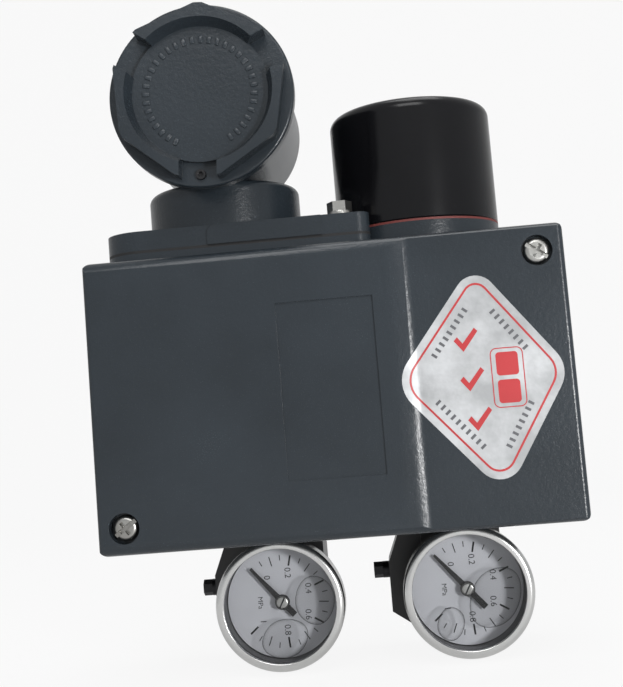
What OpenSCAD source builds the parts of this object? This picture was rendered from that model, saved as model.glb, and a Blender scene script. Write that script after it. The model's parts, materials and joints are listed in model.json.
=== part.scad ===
// Pneumatic valve positioner: a cast case with a front cover, a screwed terminal housing,
// a torque motor under a round cap, a pilot relay, a feedback shaft and two pressure gauges.
// Millimetres. +X right, +Y out of the back, +Z up. The origin is the middle of the mounting face.

/* [Case] */
// Width of the case
case_w = 164; // [150:1:190]
// Height of the case
case_h = 100; // [94:1:120]
// Depth of the cast base
base_d = 65; // [63:1:75]
// Depth of the front cover
cover_d = 28.5; // [26:0.5:40]
// Thickness of the cover's seal
seal_t = 1.5; // [1:0.25:3]
// Wall of the cast base
case_wall = 4; // [3:0.5:6]
// Back wall of the cast base
back_wall = 6; // [5:0.5:9]
// Corner radius of the case seen from the front
case_r = 3; // [2:0.5:8]

/* [Cover] */
// Wall of the front cover
cover_wall = 3.5; // [3:0.25:5]
// Rounding of the cover's top and bottom front edges
edge_r = 4.5; // [2:0.5:8]
// Rounding of the cover's left and right front edges
side_r = 2; // [1:0.5:5]
// How far the right part of the cover's face lies behind the left part
step_h = 1.3; // [0.6:0.1:2.2]
// Distance of the crease from the middle of the cover
step_x = 30; // [24:1:40]
// Width of the curve that falls to the crease
blend_w = 9; // [6:0.5:14]
// Width of the recessed panel
panel_w = 33; // [20:1:36]
// Height of the recessed panel
panel_h = 60; // [30:1:70]
// Depth of the recessed panel
panel_deep = 0.7; // [0.3:0.1:1.2]
// Distance of the cover screws from the case's sides
cover_screw_in = 9.2; // [8.5:0.1:12]
// Radius of the cover screws' thread
cover_screw_r = 2.45; // [2:0.05:2.9]
// Radius of the cover screws' heads
cover_head_r = 4.4; // [4:0.1:5]
// Depth of the cover screws' seats below the face
cover_seat = 5; // [4:0.25:7]

/* [Mounting] */
// Distance between the mounting holes across
mount_dx = 100; // [90:1:110]
// Distance between the mounting holes up
mount_dz = 68; // [65:1:72]
// Radius of the tapped mounting holes
mount_r = 3.4; // [2.5:0.1:4.2]
// Depth of the tapped mounting holes
mount_deep = 14; // [10:1:15]

/* [Feedback] */
// Radius of the feedback shaft
shaft_r = 4; // [3:0.25:5]
// Place of the feedback shaft across
shaft_x = -20; // [-24:1:-16]
// Place of the feedback shaft up
shaft_z = -22; // [-26:1:-18]
// Length of shaft outside the back
shaft_out = 22; // [14:1:40]
// Length of the span arm above the shaft
arm_l = 54; // [48:1:60]
// Radius of the span screw
span_r = 2; // [1.5:0.1:2.5]

/* [Terminal housing] */
// Place of the terminal housing across
term_x = -38.4; // [-42:0.2:-34]
// Height of the pad that carries the terminal housing
pad_h = 6.4; // [5:0.2:12]
// Thickness of the housing's flange
flange_t = 7.2; // [6:0.2:12]
// Radius of the housing's neck
neck_r = 29.2; // [24:0.2:31]
// Radius of the housing's barrel
barrel_r = 30; // [28:0.5:34]
// Wall of the barrel
barrel_wall = 4; // [3:0.5:6]
// Height of the barrel's axis above the flange
barrel_up = 44.5; // [40:0.1:50]
// Length of the barrel
barrel_l = 63; // [50:1:70]
// Radius of the lid
lid_r = 33.4; // [32:0.2:38]
// Height of the lid's lugs
lug_h = 8; // [5:0.5:10]
// Radius of the tapped cable entry
conduit_r = 9.5; // [8:0.5:12]

/* [Motor cap] */
// Place of the motor across
motor_x = 36; // [32:1:40]
// Radius of the motor cap
cap_r = 31; // [30:0.5:32]
// Height of the motor cap
cap_h = 46.2; // [43:0.2:60]
// Wall of the motor cap
cap_wall = 3.4; // [2.5:0.2:5]
// Height of the boss under the motor cap
boss_h = 9.8; // [8:0.2:14]
// Thickness of the cap's seal
cap_seal_t = 0.8; // [0.5:0.1:2]

/* [Gauges] */
// Place of the supply gauge across
supply_x = -26; // [-32:1:-20]
// Place of the output gauge across
output_x = 41.5; // [36:0.5:48]
// Radius of a gauge's bezel
gauge_r = 23.3; // [20:0.1:26]
// Gap between the case and a gauge
gauge_gap = 1.2; // [0.6:0.1:6]
// Length of a gauge from bezel to connector
gauge_l = 32; // [28:1:40]
// Direction of a gauge's zero, counted from the right
gauge_zero = 131; // [90:1:180]
// Width of a manifold block
block_w = 30; // [26:1:36]
// Depth of a manifold block
block_d = 26; // [24:1:30]
// Radius of the tapped air ports
port_r = 5.9; // [4.5:0.1:6.5]

/* [Fits] */
// Radial play of a turning pair
run = 0.05; // [0.02:0.01:0.1]
// Radial play of a pressed pair
press = 0.02; // [0.01:0.01:0.05]
// Play round screws and between pieces that pass each other
gap = 0.3; // [0.25:0.05:0.4]

/* [Hidden] */
$fn = 64;
eps = 0.01;
tall = 400;

// Levels along Y, counted towards the back
rim_y = -base_d;
cover_y = rim_y - seal_t;
front_y = cover_y - cover_d;
floor_y = -back_wall;

// Levels along Z
top_z = case_h / 2;
roof_z = top_z - case_wall;
pad_z = top_z + pad_h;
term_seal_t = 1;
flange_z = pad_z + term_seal_t;
flange_top = flange_z + flange_t;
barrel_z = flange_top + barrel_up;
boss_z = top_z + boss_h;
cap_z = boss_z + cap_seal_t;

// Cover screws, at two opposite corners
cover_screw_x = case_w / 2 - cover_screw_in;
cover_screw_z = case_h / 2 - cover_screw_in;
cover_boss_r = cover_head_r + 2.1;
cover_head_h = 3.6;
cover_seat_y = front_y + cover_seat;
cover_screw_end = rim_y + 9;
retainer_pocket = 3.5;
retainer_r = cover_screw_r + 1.9;

// Motor
motor_y = -cap_r - 0.5;
cap_round = 4.5;
spigot_r = cap_r - cap_wall - 0.4;
spigot_h = 8;
well_r = spigot_r - 5;
well_z = boss_z - 3;
throat_r = 16;
plate_t = 3.5;
plate_z = well_z + plate_t;
pivot_z = plate_z + 3.5;
pivot_r = 1.5;
ear_y = 9;
ear_t = 3;
slot_w = 13;
hub_half = slot_w / 2 - 0.5;
bar_x = 4;
bar_y = 6;
bar_top = pivot_z + 23;
bar_low = -6;
pole_in = 12;
pole_t = 6;
pole_d = 18;
pole_top = plate_z + 30;
shoe_h = 8;
shoe_gap = 2.6;
magnet_h = 7.5;
coil_z = plate_z + 8.5;
coil_h = 13;
coil_r = 10.5;
bobbin_t = 1.5;
motor_screw_r = 1.7;
motor_screw_at = (well_r + throat_r) / 2;

// Flapper and nozzle
flapper_z = 28;
flapper_h = 16;
flapper_t = 0.8;
nozzle_gap = 0.9;
nozzle_tip = motor_x - bar_x / 2 - flapper_t - nozzle_gap;
nozzle_r = 3;
nozzle_l = 9;
nozzle_block_x = nozzle_tip - nozzle_l - 16;
nozzle_block_w = 16;
nozzle_block_h = 16;

// Feedback shaft, span arm and feedback spring
bush_t = 2;
bush_lip = 1.5;
bush_l = 10;
shaft_boss_y = floor_y - 20;
hub_front = -47;
hub_back = shaft_boss_y - bush_lip - 2.5;
shaft_front = hub_front + 1;
shaft_head_r = shaft_r + 2;
arm_w = 13;
arm_t = 3;
arm_y = hub_front + 3;
span_head_r = 5;
span_y = arm_y - arm_t - span_head_r - 1;
lug_t = 3;
lug_low = shaft_z + 14;
lug_high = shaft_z + arm_l - 4;
slider_h = 9;
slider_z = (lug_low + lug_t + lug_high) / 2;
slider_w = 12;
hook_r = 1.1;
spring_wire = 0.45;
eye_r = hook_r + spring_wire + 0.35;
hook_at = slider_w / 2 + eye_r + spring_wire + gap;
spring_r = 2.6;
spring_turns = 11;
pin_front = span_y - 2.2;
tongue_y = span_y + spring_wire + gap;
tongue_t = 3;

// Zero adjuster
zero_z = -2;
zero_plate_x = motor_x + 20;
zero_plate_t = 3;
zero_r = 3;
zero_head_r = 9;
zero_head_l = 8;
zero_in = 6;

// Pilot relay
relay_x = 22 - case_w / 2;
relay_w = 32;
relay_h = 58;
relay_z = -2;
relay_back = floor_y - 12;
relay_front = relay_back - 20;
stack_z = -9;
stack_r = 14;
stack_t = 1.2;
stack_flange = 4.8;
stack_dome_r = 7.5;
stack_dome_h = 6;
stack_screw_at = 11;
stack_screw_r = 1.4;
stack_screw_bite = 6;
stack_bore_r = stack_screw_at - 4;
stack_bore_l = 5;
stack_wall = 2;
relay_r = 3;
relay_bolt_r = 1.6;
relay_bolt_dx = relay_w / 2 - 5;
relay_bolt_z = relay_z - relay_h / 2 + 4.5;
relay_bolt_bite = 9;
relay_pad_in = 2;
adjust_z = 18;
adjust_dx = 7;
adjust_l = 8;
restrict_r = 2;
restrict_af = 7;
restrict_h = 3.5;
mode_r = 2.5;
mode_head_r = 5;
mode_head_h = 4;
mode_slot_w = 1.4;
mode_slot_d = 2;
tube_r = 1.5;
tube_y = -24;
tube_z = 23;

// Terminal housing
flange_front = rim_y;
flange_back = -3;
flange_left = 0.5 - case_w / 2;
flange_right = motor_x - cap_r - 5;
flange_big_r = 14;
flange_small_r = 8;
lug_ear_r = 5;
lug_ear_x = motor_x - 23.4;
ear_bolt_in = 5.6;
neck_y = -34;
neck_h = 16.9;
neck_round = 3;
rib_left = term_x - 3.6;
rib_proud = 0.7;
rib_r = 3.4;
barrel_back = -10;
barrel_front = barrel_back - barrel_l;
barrel_floor = barrel_back - 6;
chamber_r = barrel_r - barrel_wall;
conduit_wall = 5;
conduit_end = -1;
wire_r = 8;
bolt_r = 2.5;
bolt_af = 8;
bolt_head_h = 3.6;
washer_r = 4.6;
washer_t = 1.2;
bolt_l = flange_t + term_seal_t + pad_h - 1;
bolts = [
    [lug_ear_x - ear_bolt_in, flange_front + lug_ear_r],
    [flange_right - flange_small_r, flange_back - flange_small_r],
    [flange_left + 10, flange_back - 10]
];

// Lid, lug corners at thirds of a turn
lid_turn = -4;
lid_seal_t = 1.5;
lid_back = barrel_front - lid_seal_t;
lid_flange_t = 5.5;
lid_face = lid_back - lid_flange_t;
lid_floor_h = 2.5;
lid_plug_r = chamber_r - 0.4;
lid_plug_l = 10;
lid_plug_wall = 4;
lug_corner_r = 0.96 * lid_r;
lug_outer_r = 0.94 * lid_r;
lug_inner_r = 0.79 * lid_r;
lug_foot_r = 0.73 * lid_r;
lug_slope = 24;
notch_w = 0.4 * lid_r;
lock_r = 1.8;
lock_at = 0.87 * lid_r;

// Terminal block
term_block_w = 24;
term_block_h = 11.5;
term_block_d = 20;
term_block_z = barrel_z - chamber_r + 4.4;
term_pitch = 7;
ground_dx = 17;
ground_dz = 3;

// Gauges and manifolds
gauge_z = -top_z - gauge_gap - gauge_r;
block_back = -4;
block_front = block_back - block_d;
block_low = gauge_z - 19.5;
gauge_front = block_front - gauge_l;
case_back = block_front - 6;
shell_r = gauge_r - 1.7;
shell_t = 1;
shell_front = gauge_front + 4;
glass_t = 2;
lip_r = gauge_r - 3.1;
bezel_l = 10;
dial_front = gauge_front + 12.4;
dial_t = 0.8;
dial_r = shell_r - shell_t - 0.3;
stem_r = 4.85;
stem_l = 10;
stem_post_r = 5;
hex_af = 14;
spindle_r = 1.2;
pointer_t = 0.6;
pointer_l = dial_r - 3.5;
bourdon_r = 13.5;
bourdon_tube = 2;
port_deep = 12;
gallery_r = 3;
gallery_y = block_front + 7;
wing_l = gauge_r + 4.7;
wing_in = 6.5;
wing_front = block_front + 3;
plug_r = 2.2;
plug_z = gauge_z + 5;
bleed_z = gauge_z + 3;
plug_head_r = 3.2;
plug_head_l = 6;
foot_l = wing_l + 9;
foot_t = 4.5;
foot_round = 2;
plug_y = -17;
manifold_screw_r = 2;
manifold_screw_dx = 9;
manifold_screw_y = -17;
ring_w = 1.8;

case_paint = "#33424a";
cap_black = "#161617";
gauge_xs = [supply_x, output_x];

// A flat shape in X and Z, made solid from y0 to y1
module along_y(y0, y1) {
    translate([0, y1, 0]) rotate([90, 0, 0]) linear_extrude(y1 - y0) children();
}

// A flat shape in Y and Z, made solid from x0 to x1
module along_x(x0, x1) {
    translate([x0, 0, 0]) rotate([90, 0, 90]) linear_extrude(x1 - x0) children();
}

// A flat shape in X and Y, made solid from z0 to z1
module along_z(z0, z1) {
    translate([0, 0, z0]) linear_extrude(z1 - z0) children();
}

module rod_y(x, z, r, y0, y1) {
    translate([x, y1, z]) rotate([90, 0, 0]) cylinder(r = r, h = y1 - y0);
}

module rod_x(y, z, r, x0, x1) {
    translate([x0, y, z]) rotate([0, 90, 0]) cylinder(r = r, h = x1 - x0);
}

module rod_z(x, y, r, z0, z1) {
    translate([x, y, z0]) cylinder(r = r, h = z1 - z0);
}

// A profile of radius and distance to the front, turned about an axis along Y
module turned_y(x, z) {
    translate([x, 0, z]) rotate([90, 0, 0]) rotate_extrude() children();
}

// A profile of radius and height, turned about an upright axis
module turned_z(x, y) {
    translate([x, y, 0]) rotate_extrude() children();
}

module round_rect(w, h, r) {
    square([w - 2 * r, h], center = true);
    square([w, h - 2 * r], center = true);
    for (x = [-1, 1], y = [-1, 1])
        translate([x * (w / 2 - r), y * (h / 2 - r)]) circle(r);
}

module hex(af) {
    circle(r = af / sqrt(3), $fn = 6);
}

// A square in the first quarter with its outer corner rounded
module soft_corner(w, h, r) {
    square([w - r, h]);
    square([w, h - r]);
    translate([w - r, h - r]) circle(r);
}

module at_cover_screws() {
    for (side = [-1, 1])
        translate([side * cover_screw_x, 0, side * cover_screw_z]) children();
}

module at_mounts() {
    for (x = [-1, 1], z = [-1, 1])
        translate([x * mount_dx / 2, 0, z * mount_dz / 2]) children();
}

module at_stack_screws() {
    for (a = [45 : 90 : 315])
        translate([relay_x + stack_screw_at * cos(a), 0, stack_z + stack_screw_at * sin(a)]) children();
}

module at_relay_bolts() {
    for (side = [-1, 1])
        translate([relay_x + side * relay_bolt_dx, 0, relay_bolt_z]) children();
}

module at_gauges() {
    for (x = gauge_xs)
        translate([x, 0, 0]) children();
}

// Plan of the terminal flange: two round left corners, one at the back right, and a bolt ear in front
module flange_plan() {
    left = flange_left;
    right = flange_right;
    front = flange_front;
    back = flange_back;
    big = flange_big_r;
    small = flange_small_r;
    translate([left + big, front]) square([right - small - left - big, back - front]);
    translate([left, front + big]) square([big, back - front - 2 * big]);
    translate([right - small, front]) square([small, back - small - front]);
    for (y = [front + big, back - big])
        translate([left + big, y]) circle(big);
    translate([right - small, back - small]) circle(small);
    translate([right, front]) square([lug_ear_x - right, 2 * lug_ear_r]);
    translate([lug_ear_x, front + lug_ear_r]) circle(lug_ear_r);
}

module flange_holes(r, z0, z1) {
    for (b = bolts)
        rod_z(b[0], b[1], r, z0, z1);
}

module base_housing() {
    inner_w = case_w - 2 * case_wall;
    inner_h = case_h - 2 * case_wall;
    relay_pad_w = relay_w - 2 * relay_pad_in;
    color(case_paint) difference() {
        union() {
            difference() {
                along_y(rim_y, 0) round_rect(case_w, case_h, case_r);
                along_y(rim_y - 1, floor_y) round_rect(inner_w, inner_h, 2);
            }
            intersection() {
                along_y(rim_y, 0) round_rect(case_w, case_h, case_r);
                at_cover_screws() rod_y(0, 0, cover_boss_r, rim_y, floor_y + 1);
            }
            at_mounts() rod_y(0, 0, mount_r + 4.6, -mount_deep - 2, floor_y + 1);
            translate([relay_x, 0, relay_z]) along_y(relay_back, floor_y + 1)
                round_rect(relay_pad_w, relay_h - 2 * relay_pad_in, relay_r);
            rod_y(shaft_x, shaft_z, shaft_r + bush_t + 3.5, shaft_boss_y, floor_y + 1);
            along_z(roof_z + 1, pad_z) flange_plan();
            rod_z(motor_x, motor_y, cap_r, roof_z + 1, boss_z);
            rod_z(motor_x, motor_y, spigot_r, boss_z - 1, boss_z + spigot_h);
        }
        at_cover_screws() rod_y(0, 0, cover_screw_r + 0.15, rim_y - 1, cover_screw_end + 4);
        at_mounts() rod_y(0, 0, mount_r, -mount_deep, 1);
        rod_y(shaft_x, shaft_z, shaft_r + bush_t, shaft_boss_y - 1, 1);
        rod_z(term_x, neck_y, wire_r, roof_z - 1, pad_z + 1);
        flange_holes(bolt_r + 0.1, flange_top - bolt_l - 1, pad_z + 1);
        rod_z(motor_x, motor_y, throat_r, roof_z - 1, well_z + 1);
        rod_z(motor_x, motor_y, well_r, well_z, boss_z + spigot_h + 1);
        for (side = [-1, 1])
            rod_z(motor_x, motor_y + side * motor_screw_at, motor_screw_r + 0.1, well_z - 9, well_z + 1);
        at_gauges() {
            for (side = [-1, 1])
                rod_z(side * manifold_screw_dx, manifold_screw_y, manifold_screw_r + gap, -top_z - 1, 1 - roof_z);
            rod_z(0, gallery_y, gallery_r, -top_z - 1, 1 - roof_z);
        }
        at_relay_bolts() rod_y(0, 0, relay_bolt_r + 0.1, relay_back - 1, relay_back + relay_bolt_bite + 1);
    }
}

module cover_gasket() {
    lip = 0.4;
    color("#202224") difference() {
        along_y(cover_y, rim_y) {
            difference() {
                round_rect(case_w - 2 * lip, case_h - 2 * lip, case_r);
                round_rect(case_w - 2 * case_wall, case_h - 2 * case_wall, 2);
            }
            intersection() {
                round_rect(case_w - 2 * lip, case_h - 2 * lip, case_r);
                for (side = [-1, 1])
                    translate([side * cover_screw_x, side * cover_screw_z]) circle(cover_boss_r);
            }
        }
        at_cover_screws() rod_y(0, 0, retainer_r + gap, cover_y - 1, rim_y + 1);
    }
}

// Plan of the cover's front: a raised left part that falls in an arc to the crease
module cover_plan() {
    half = case_w / 2;
    arc_r = (blend_w * blend_w + step_h * step_h) / (2 * step_h);
    arc_x = step_x - blend_w;
    back = cover_y;
    difference() {
        union() {
            translate([-half, front_y]) square([arc_x + half, back - front_y]);
            translate([arc_x, front_y + step_h]) square([half - arc_x, back - front_y - step_h]);
            intersection() {
                translate([arc_x, front_y + arc_r]) circle(arc_r, $fn = 256);
                translate([arc_x, front_y]) square([blend_w, step_h + 1]);
            }
        }
        translate([-half, front_y]) difference() {
            translate([-1, -1]) square(side_r + 1);
            translate([side_r, side_r]) circle(side_r);
        }
        translate([half, front_y + step_h]) difference() {
            translate([-side_r, -1]) square(side_r + 1);
            translate([-side_r, side_r]) circle(side_r);
        }
    }
}

// Side view of the cover: rounded front edges above and below
module cover_side() {
    difference() {
        translate([front_y, -top_z]) square([cover_d, case_h]);
        for (s = [-1, 1])
            translate([front_y, s * top_z]) difference() {
                translate([edge_r / 2 - 0.5, s * (1 - edge_r) / 2]) square(edge_r + 1, center = true);
                translate([edge_r, -s * edge_r]) circle(edge_r);
            }
    }
}

module front_cover() {
    inside_y = front_y + step_h + cover_wall;
    color(case_paint) difference() {
        union() {
            difference() {
                intersection() {
                    along_y(front_y, cover_y) round_rect(case_w, case_h, case_r);
                    along_z(-top_z, top_z) cover_plan();
                    along_x(-case_w / 2, case_w / 2) cover_side();
                }
                along_y(inside_y, cover_y + 1) round_rect(case_w - 2 * cover_wall, case_h - 2 * cover_wall, 2);
            }
            intersection() {
                along_y(inside_y - 1, cover_y) round_rect(case_w, case_h, case_r);
                at_cover_screws() rod_y(0, 0, cover_boss_r, front_y, cover_y);
            }
        }
        translate([0, 0, 0.5]) along_y(front_y - 1, front_y + panel_deep)
            square([panel_w, panel_h], center = true);
        at_cover_screws() {
            rod_y(0, 0, cover_head_r + 0.8, front_y - 1, cover_seat_y);
            rod_y(0, 0, cover_screw_r + 0.15, front_y, cover_y + 1);
            rod_y(0, 0, retainer_r + gap, cover_y - retainer_pocket, cover_y + 1);
        }
    }
}

module screw_retainers() {
    ring_l = 1.6;
    back = cover_y - retainer_pocket + ring_l;
    color("#e6e2d4") at_cover_screws() difference() {
        rod_y(0, 0, retainer_r, cover_y - retainer_pocket, back);
        rod_y(0, 0, cover_screw_r + run, cover_y - retainer_pocket - 1, back + 1);
    }
}

// Round screw head with a dome, a cross recess and one long slot, its seat at f = 0
module cross_head(r, h) {
    slot_w = 0.28 * r;
    difference() {
        rotate([90, 0, 0]) rotate_extrude() soft_corner(r, h, h / 2);
        for (a = [0, 90])
            rotate([0, a, 0]) translate([-0.55 * r, -h - 1, -slot_w / 2]) cube([1.1 * r, 1 + 0.55 * h, slot_w]);
        translate([-r - 1, -h - 1, -0.6 * slot_w]) cube([2 * r + 2, 1 + 0.3 * h, 1.2 * slot_w]);
    }
}

module cover_screw(side) {
    color("silver") translate([side * cover_screw_x, 0, side * cover_screw_z]) {
        translate([0, cover_seat_y, 0]) rotate([0, 35 * side, 0]) cross_head(cover_head_r, cover_head_h);
        rod_y(0, 0, cover_screw_r, cover_seat_y - eps, cover_screw_end);
    }
}

// Raised part of the flange's front face, with a round upper corner on its left
module flange_rib() {
    w = flange_right - rib_left;
    translate([rib_left, flange_z]) {
        square([w, flange_t - rib_r]);
        translate([rib_r, 0]) square([w - rib_r, flange_t]);
        translate([rib_r, flange_t - rib_r]) circle(rib_r);
    }
}

module terminal_housing() {
    color(case_paint) difference() {
        union() {
            along_z(flange_z, flange_top) flange_plan();
            along_y(flange_front - rib_proud, flange_front + 1) flange_rib();
            turned_z(term_x, neck_y) soft_corner(neck_r, flange_top + neck_h, neck_round);
            rod_y(term_x, barrel_z, barrel_r, barrel_front, barrel_back);
            rod_y(term_x, barrel_z, conduit_r + conduit_wall, barrel_back - 1, conduit_end);
        }
        rod_z(term_x, neck_y, neck_r + 1, -1, flange_z);
        rod_y(term_x, barrel_z, chamber_r, barrel_front - 1, barrel_floor);
        rod_y(term_x, barrel_z, conduit_r, barrel_floor - 1, conduit_end + 1);
        rod_z(term_x, neck_y, wire_r, flange_z - 1, barrel_z);
        flange_holes(bolt_r + gap, flange_z - 1, flange_top + 3);
        for (i = [1, 2])
            rod_z(bolts[i][0], bolts[i][1], washer_r + gap, flange_top, flange_top + neck_h);
        rod_y(term_x + ground_dx, barrel_z + ground_dz, 2.1, barrel_floor - 1, barrel_floor + 4.5);
    }
}

module terminal_gasket() {
    color("#202224") difference() {
        along_z(pad_z, flange_z) flange_plan();
        rod_z(term_x, neck_y, wire_r, pad_z - 1, flange_z + 1);
        flange_holes(bolt_r + gap, pad_z - 1, flange_z + 1);
    }
}

// Hexagon bolts with a washer under the head
module flange_bolts() {
    head_z = flange_top + washer_t;
    color("silver") for (b = bolts)
        translate([b[0], b[1], 0]) {
            rod_z(0, 0, bolt_r, flange_top - bolt_l, head_z + 1);
            rod_z(0, 0, washer_r, flange_top, head_z);
            along_z(head_z, head_z + bolt_head_h) hex(bolt_af);
        }
}

module terminal_block() {
    front = barrel_floor - term_block_d;
    rib = 1.2;
    color("#1b1b1c") difference() {
        translate([term_x - term_block_w / 2, front, term_block_z])
            cube([term_block_w, term_block_d, term_block_h]);
        for (i = [-1 : 1])
            translate([term_x + i * term_pitch - term_pitch / 2 + rib / 2, front - 1, term_block_z + 2])
                cube([term_pitch - rib, 6, term_block_h]);
        for (i = [-1 : 1])
            rod_y(term_x + i * term_pitch, term_block_z + 6.5, 1.6, front, front + 12);
    }
}

module terminal_screws() {
    seat = barrel_floor - term_block_d + 5;
    color("silver") for (i = [-1 : 1])
        translate([term_x + i * term_pitch, seat, term_block_z + 6.5]) {
            cross_head(2.5, 2);
            rod_y(0, 0, 1.5, -eps, 6);
        }
}

module ground_screw() {
    color("silver") translate([term_x + ground_dx, barrel_floor, barrel_z + ground_dz]) {
        along_y(-3, 0) hex(7);
        rod_y(0, 0, 4.4, -1, 0);
        rod_y(0, 0, 2, -eps, 4);
    }
}

// One lug of the lid: two straight outer sides that meet in a corner, a round inner side, square ends
module lug_plan(corner) {
    side_d = lug_corner_r * cos(lug_slope);
    intersection() {
        difference() {
            circle(lug_outer_r);
            circle(lug_foot_r);
        }
        rotate(corner) intersection() {
            rotate(lug_slope) translate([side_d - tall, -tall / 2]) square(tall);
            rotate(-lug_slope) translate([side_d - tall, -tall / 2]) square(tall);
            rotate(60) translate([-tall, -tall - notch_w / 2]) square([2 * tall, tall]);
            rotate(-60) translate([-tall, notch_w / 2]) square([2 * tall, tall]);
        }
    }
}

module terminal_lid() {
    color(case_paint) translate([term_x, 0, barrel_z]) rotate([0, -lid_turn, 0]) difference() {
        union() {
            translate([0, lid_back, 0]) rotate([90, 0, 0]) rotate_extrude()
                soft_corner(lid_r, lid_flange_t, 1);
            rod_y(0, 0, lug_foot_r + 0.5, lid_face - lid_floor_h, lid_face + 1);
            difference() {
                along_y(lid_face - lug_h, lid_face + 1)
                    for (c = [90, 210, 330]) lug_plan(c);
                translate([0, lid_face - lid_floor_h, 0]) rotate([90, 0, 0])
                    cylinder(r1 = lug_foot_r, r2 = lug_inner_r, h = lug_h - lid_floor_h);
            }
            rod_y(0, 0, lid_plug_r, lid_back - 1, lid_back + lid_seal_t + lid_plug_l);
        }
        rod_y(0, 0, lid_plug_r - lid_plug_wall, lid_back - 1, lid_back + lid_seal_t + lid_plug_l + 1);
        rod_y(0, -lock_at, lock_r + run, lid_face - 1, lid_face + 3.5);
    }
}

module lid_seal() {
    color("#1b1b1c") difference() {
        rod_y(term_x, barrel_z, barrel_r - 0.6, lid_back, barrel_front);
        rod_y(term_x, barrel_z, lid_plug_r + gap, lid_back - 1, barrel_front + 1);
    }
}

module lid_lock_screw() {
    color("silver") translate([term_x, 0, barrel_z]) rotate([0, -lid_turn, 0]) difference() {
        rod_y(0, -lock_at, lock_r, lid_face - 1.4, lid_face + 3);
        along_y(lid_face - 2, lid_face - 0.2) translate([0, -lock_at]) hex(1.8);
    }
}

module motor_cap() {
    color(cap_black) turned_z(motor_x, motor_y) difference() {
        translate([0, cap_z]) soft_corner(cap_r, cap_h, cap_round);
        translate([0, cap_z - 1]) soft_corner(cap_r - cap_wall, cap_h - cap_wall + 1, 2);
        translate([-tall, 0]) square([tall, tall]);
    }
}

module cap_gasket() {
    color("#c8281e") difference() {
        rod_z(motor_x, motor_y, cap_r, boss_z, cap_z);
        rod_z(motor_x, motor_y, spigot_r + gap, boss_z - 1, cap_z + 1);
    }
}

module motor_base() {
    color("silver") difference() {
        union() {
            rod_z(motor_x, motor_y, well_r - gap, well_z, plate_z);
            for (side = [-1, 1])
                translate([motor_x, motor_y + side * (ear_y + ear_t / 2), 0])
                    along_y(-ear_t / 2, ear_t / 2) translate([-4, plate_z - 1]) soft_ear();
        }
        translate([motor_x, motor_y, 0]) along_z(well_z - 1, plate_z + 1) round_rect(slot_w, slot_w, 2);
        rod_y(motor_x, pivot_z, pivot_r + press, motor_y - 20, motor_y + 20);
        for (side = [-1, 1])
            rod_z(motor_x, motor_y + side * motor_screw_at, motor_screw_r + gap, well_z - 1, plate_z + 1);
    }
}

// Ear for the pivot pin, standing on the motor's base
module soft_ear() {
    square([8, pivot_z - plate_z + 1]);
    translate([4, pivot_z - plate_z + 1]) circle(4);
}

module motor_screws() {
    head_h = 2.4;
    color("silver") for (side = [-1, 1])
        translate([motor_x, motor_y + side * motor_screw_at, 0]) difference() {
            union() {
                rod_z(0, 0, 2.8, plate_z, plate_z + head_h);
                rod_z(0, 0, motor_screw_r, well_z - 8, plate_z + 1);
            }
            translate([-4, -0.4, plate_z + head_h - 0.9]) cube([8, 0.8, 2]);
        }
}

module pole_piece(side) {
    reach = pole_in - bar_x / 2 - shoe_gap;
    x0 = side > 0 ? pole_in : -pole_in - pole_t;
    shoe_x = side > 0 ? pole_in - reach : -pole_in - 1;
    translate([motor_x, motor_y - pole_d / 2, 0]) {
        translate([x0, 0, plate_z]) cube([pole_t, pole_d, pole_top - plate_z]);
        translate([shoe_x, 0, pole_top - shoe_h]) cube([reach + 1, pole_d, shoe_h]);
    }
}

module pole_pieces() {
    color("dimgray") for (side = [-1, 1])
        pole_piece(side);
}

module magnet() {
    w = 2 * (pole_in + pole_t);
    color("#5a4a42") translate([motor_x - w / 2, motor_y - pole_d / 2, pole_top])
        cube([w, pole_d, magnet_h]);
}

module motor_coil() {
    color("#b4672c") difference() {
        union() {
            rod_z(motor_x, motor_y, coil_r, coil_z, coil_z + coil_h);
            for (z = [coil_z, coil_z + coil_h - bobbin_t])
                translate([motor_x - pole_in, motor_y - pole_d / 2, z]) cube([2 * pole_in, pole_d, bobbin_t]);
        }
        rod_z(motor_x, motor_y, 5, coil_z - 1, coil_z + coil_h + 1);
    }
}

module pivot_pin() {
    half = ear_y + ear_t;
    color("silver") rod_y(motor_x, pivot_z, pivot_r, motor_y - half - 1, motor_y + half + 1);
}

module armature() {
    color("slategray") {
        difference() {
            union() {
                translate([motor_x - bar_x / 2, motor_y - bar_y / 2, bar_low])
                    cube([bar_x, bar_y, bar_top - bar_low]);
                rod_y(motor_x, pivot_z, 4, motor_y - hub_half, motor_y + hub_half);
            }
            rod_y(motor_x, pivot_z, pivot_r + run, motor_y - 20, motor_y + 20);
        }
        rod_y(motor_x, slider_z, hook_r, pin_front, motor_y - bar_y / 2 + 1);
    }
}

module flapper() {
    x1 = motor_x - bar_x / 2;
    color("lightsteelblue") translate([x1 - flapper_t, motor_y - 5, flapper_z - flapper_h / 2])
        cube([flapper_t, 10, flapper_h]);
}

module nozzle_block() {
    bore = nozzle_r + press;
    color("silver") difference() {
        translate([nozzle_block_x + nozzle_block_w / 2, 0, flapper_z]) along_y(motor_y - 7, floor_y)
            round_rect(nozzle_block_w, nozzle_block_h, 2);
        rod_x(motor_y, flapper_z, bore, nozzle_block_x + nozzle_block_w - 8, nozzle_block_x + nozzle_block_w + 1);
        rod_x(motor_y, flapper_z, 1, nozzle_block_x + 4, nozzle_block_x + nozzle_block_w);
    }
}

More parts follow.
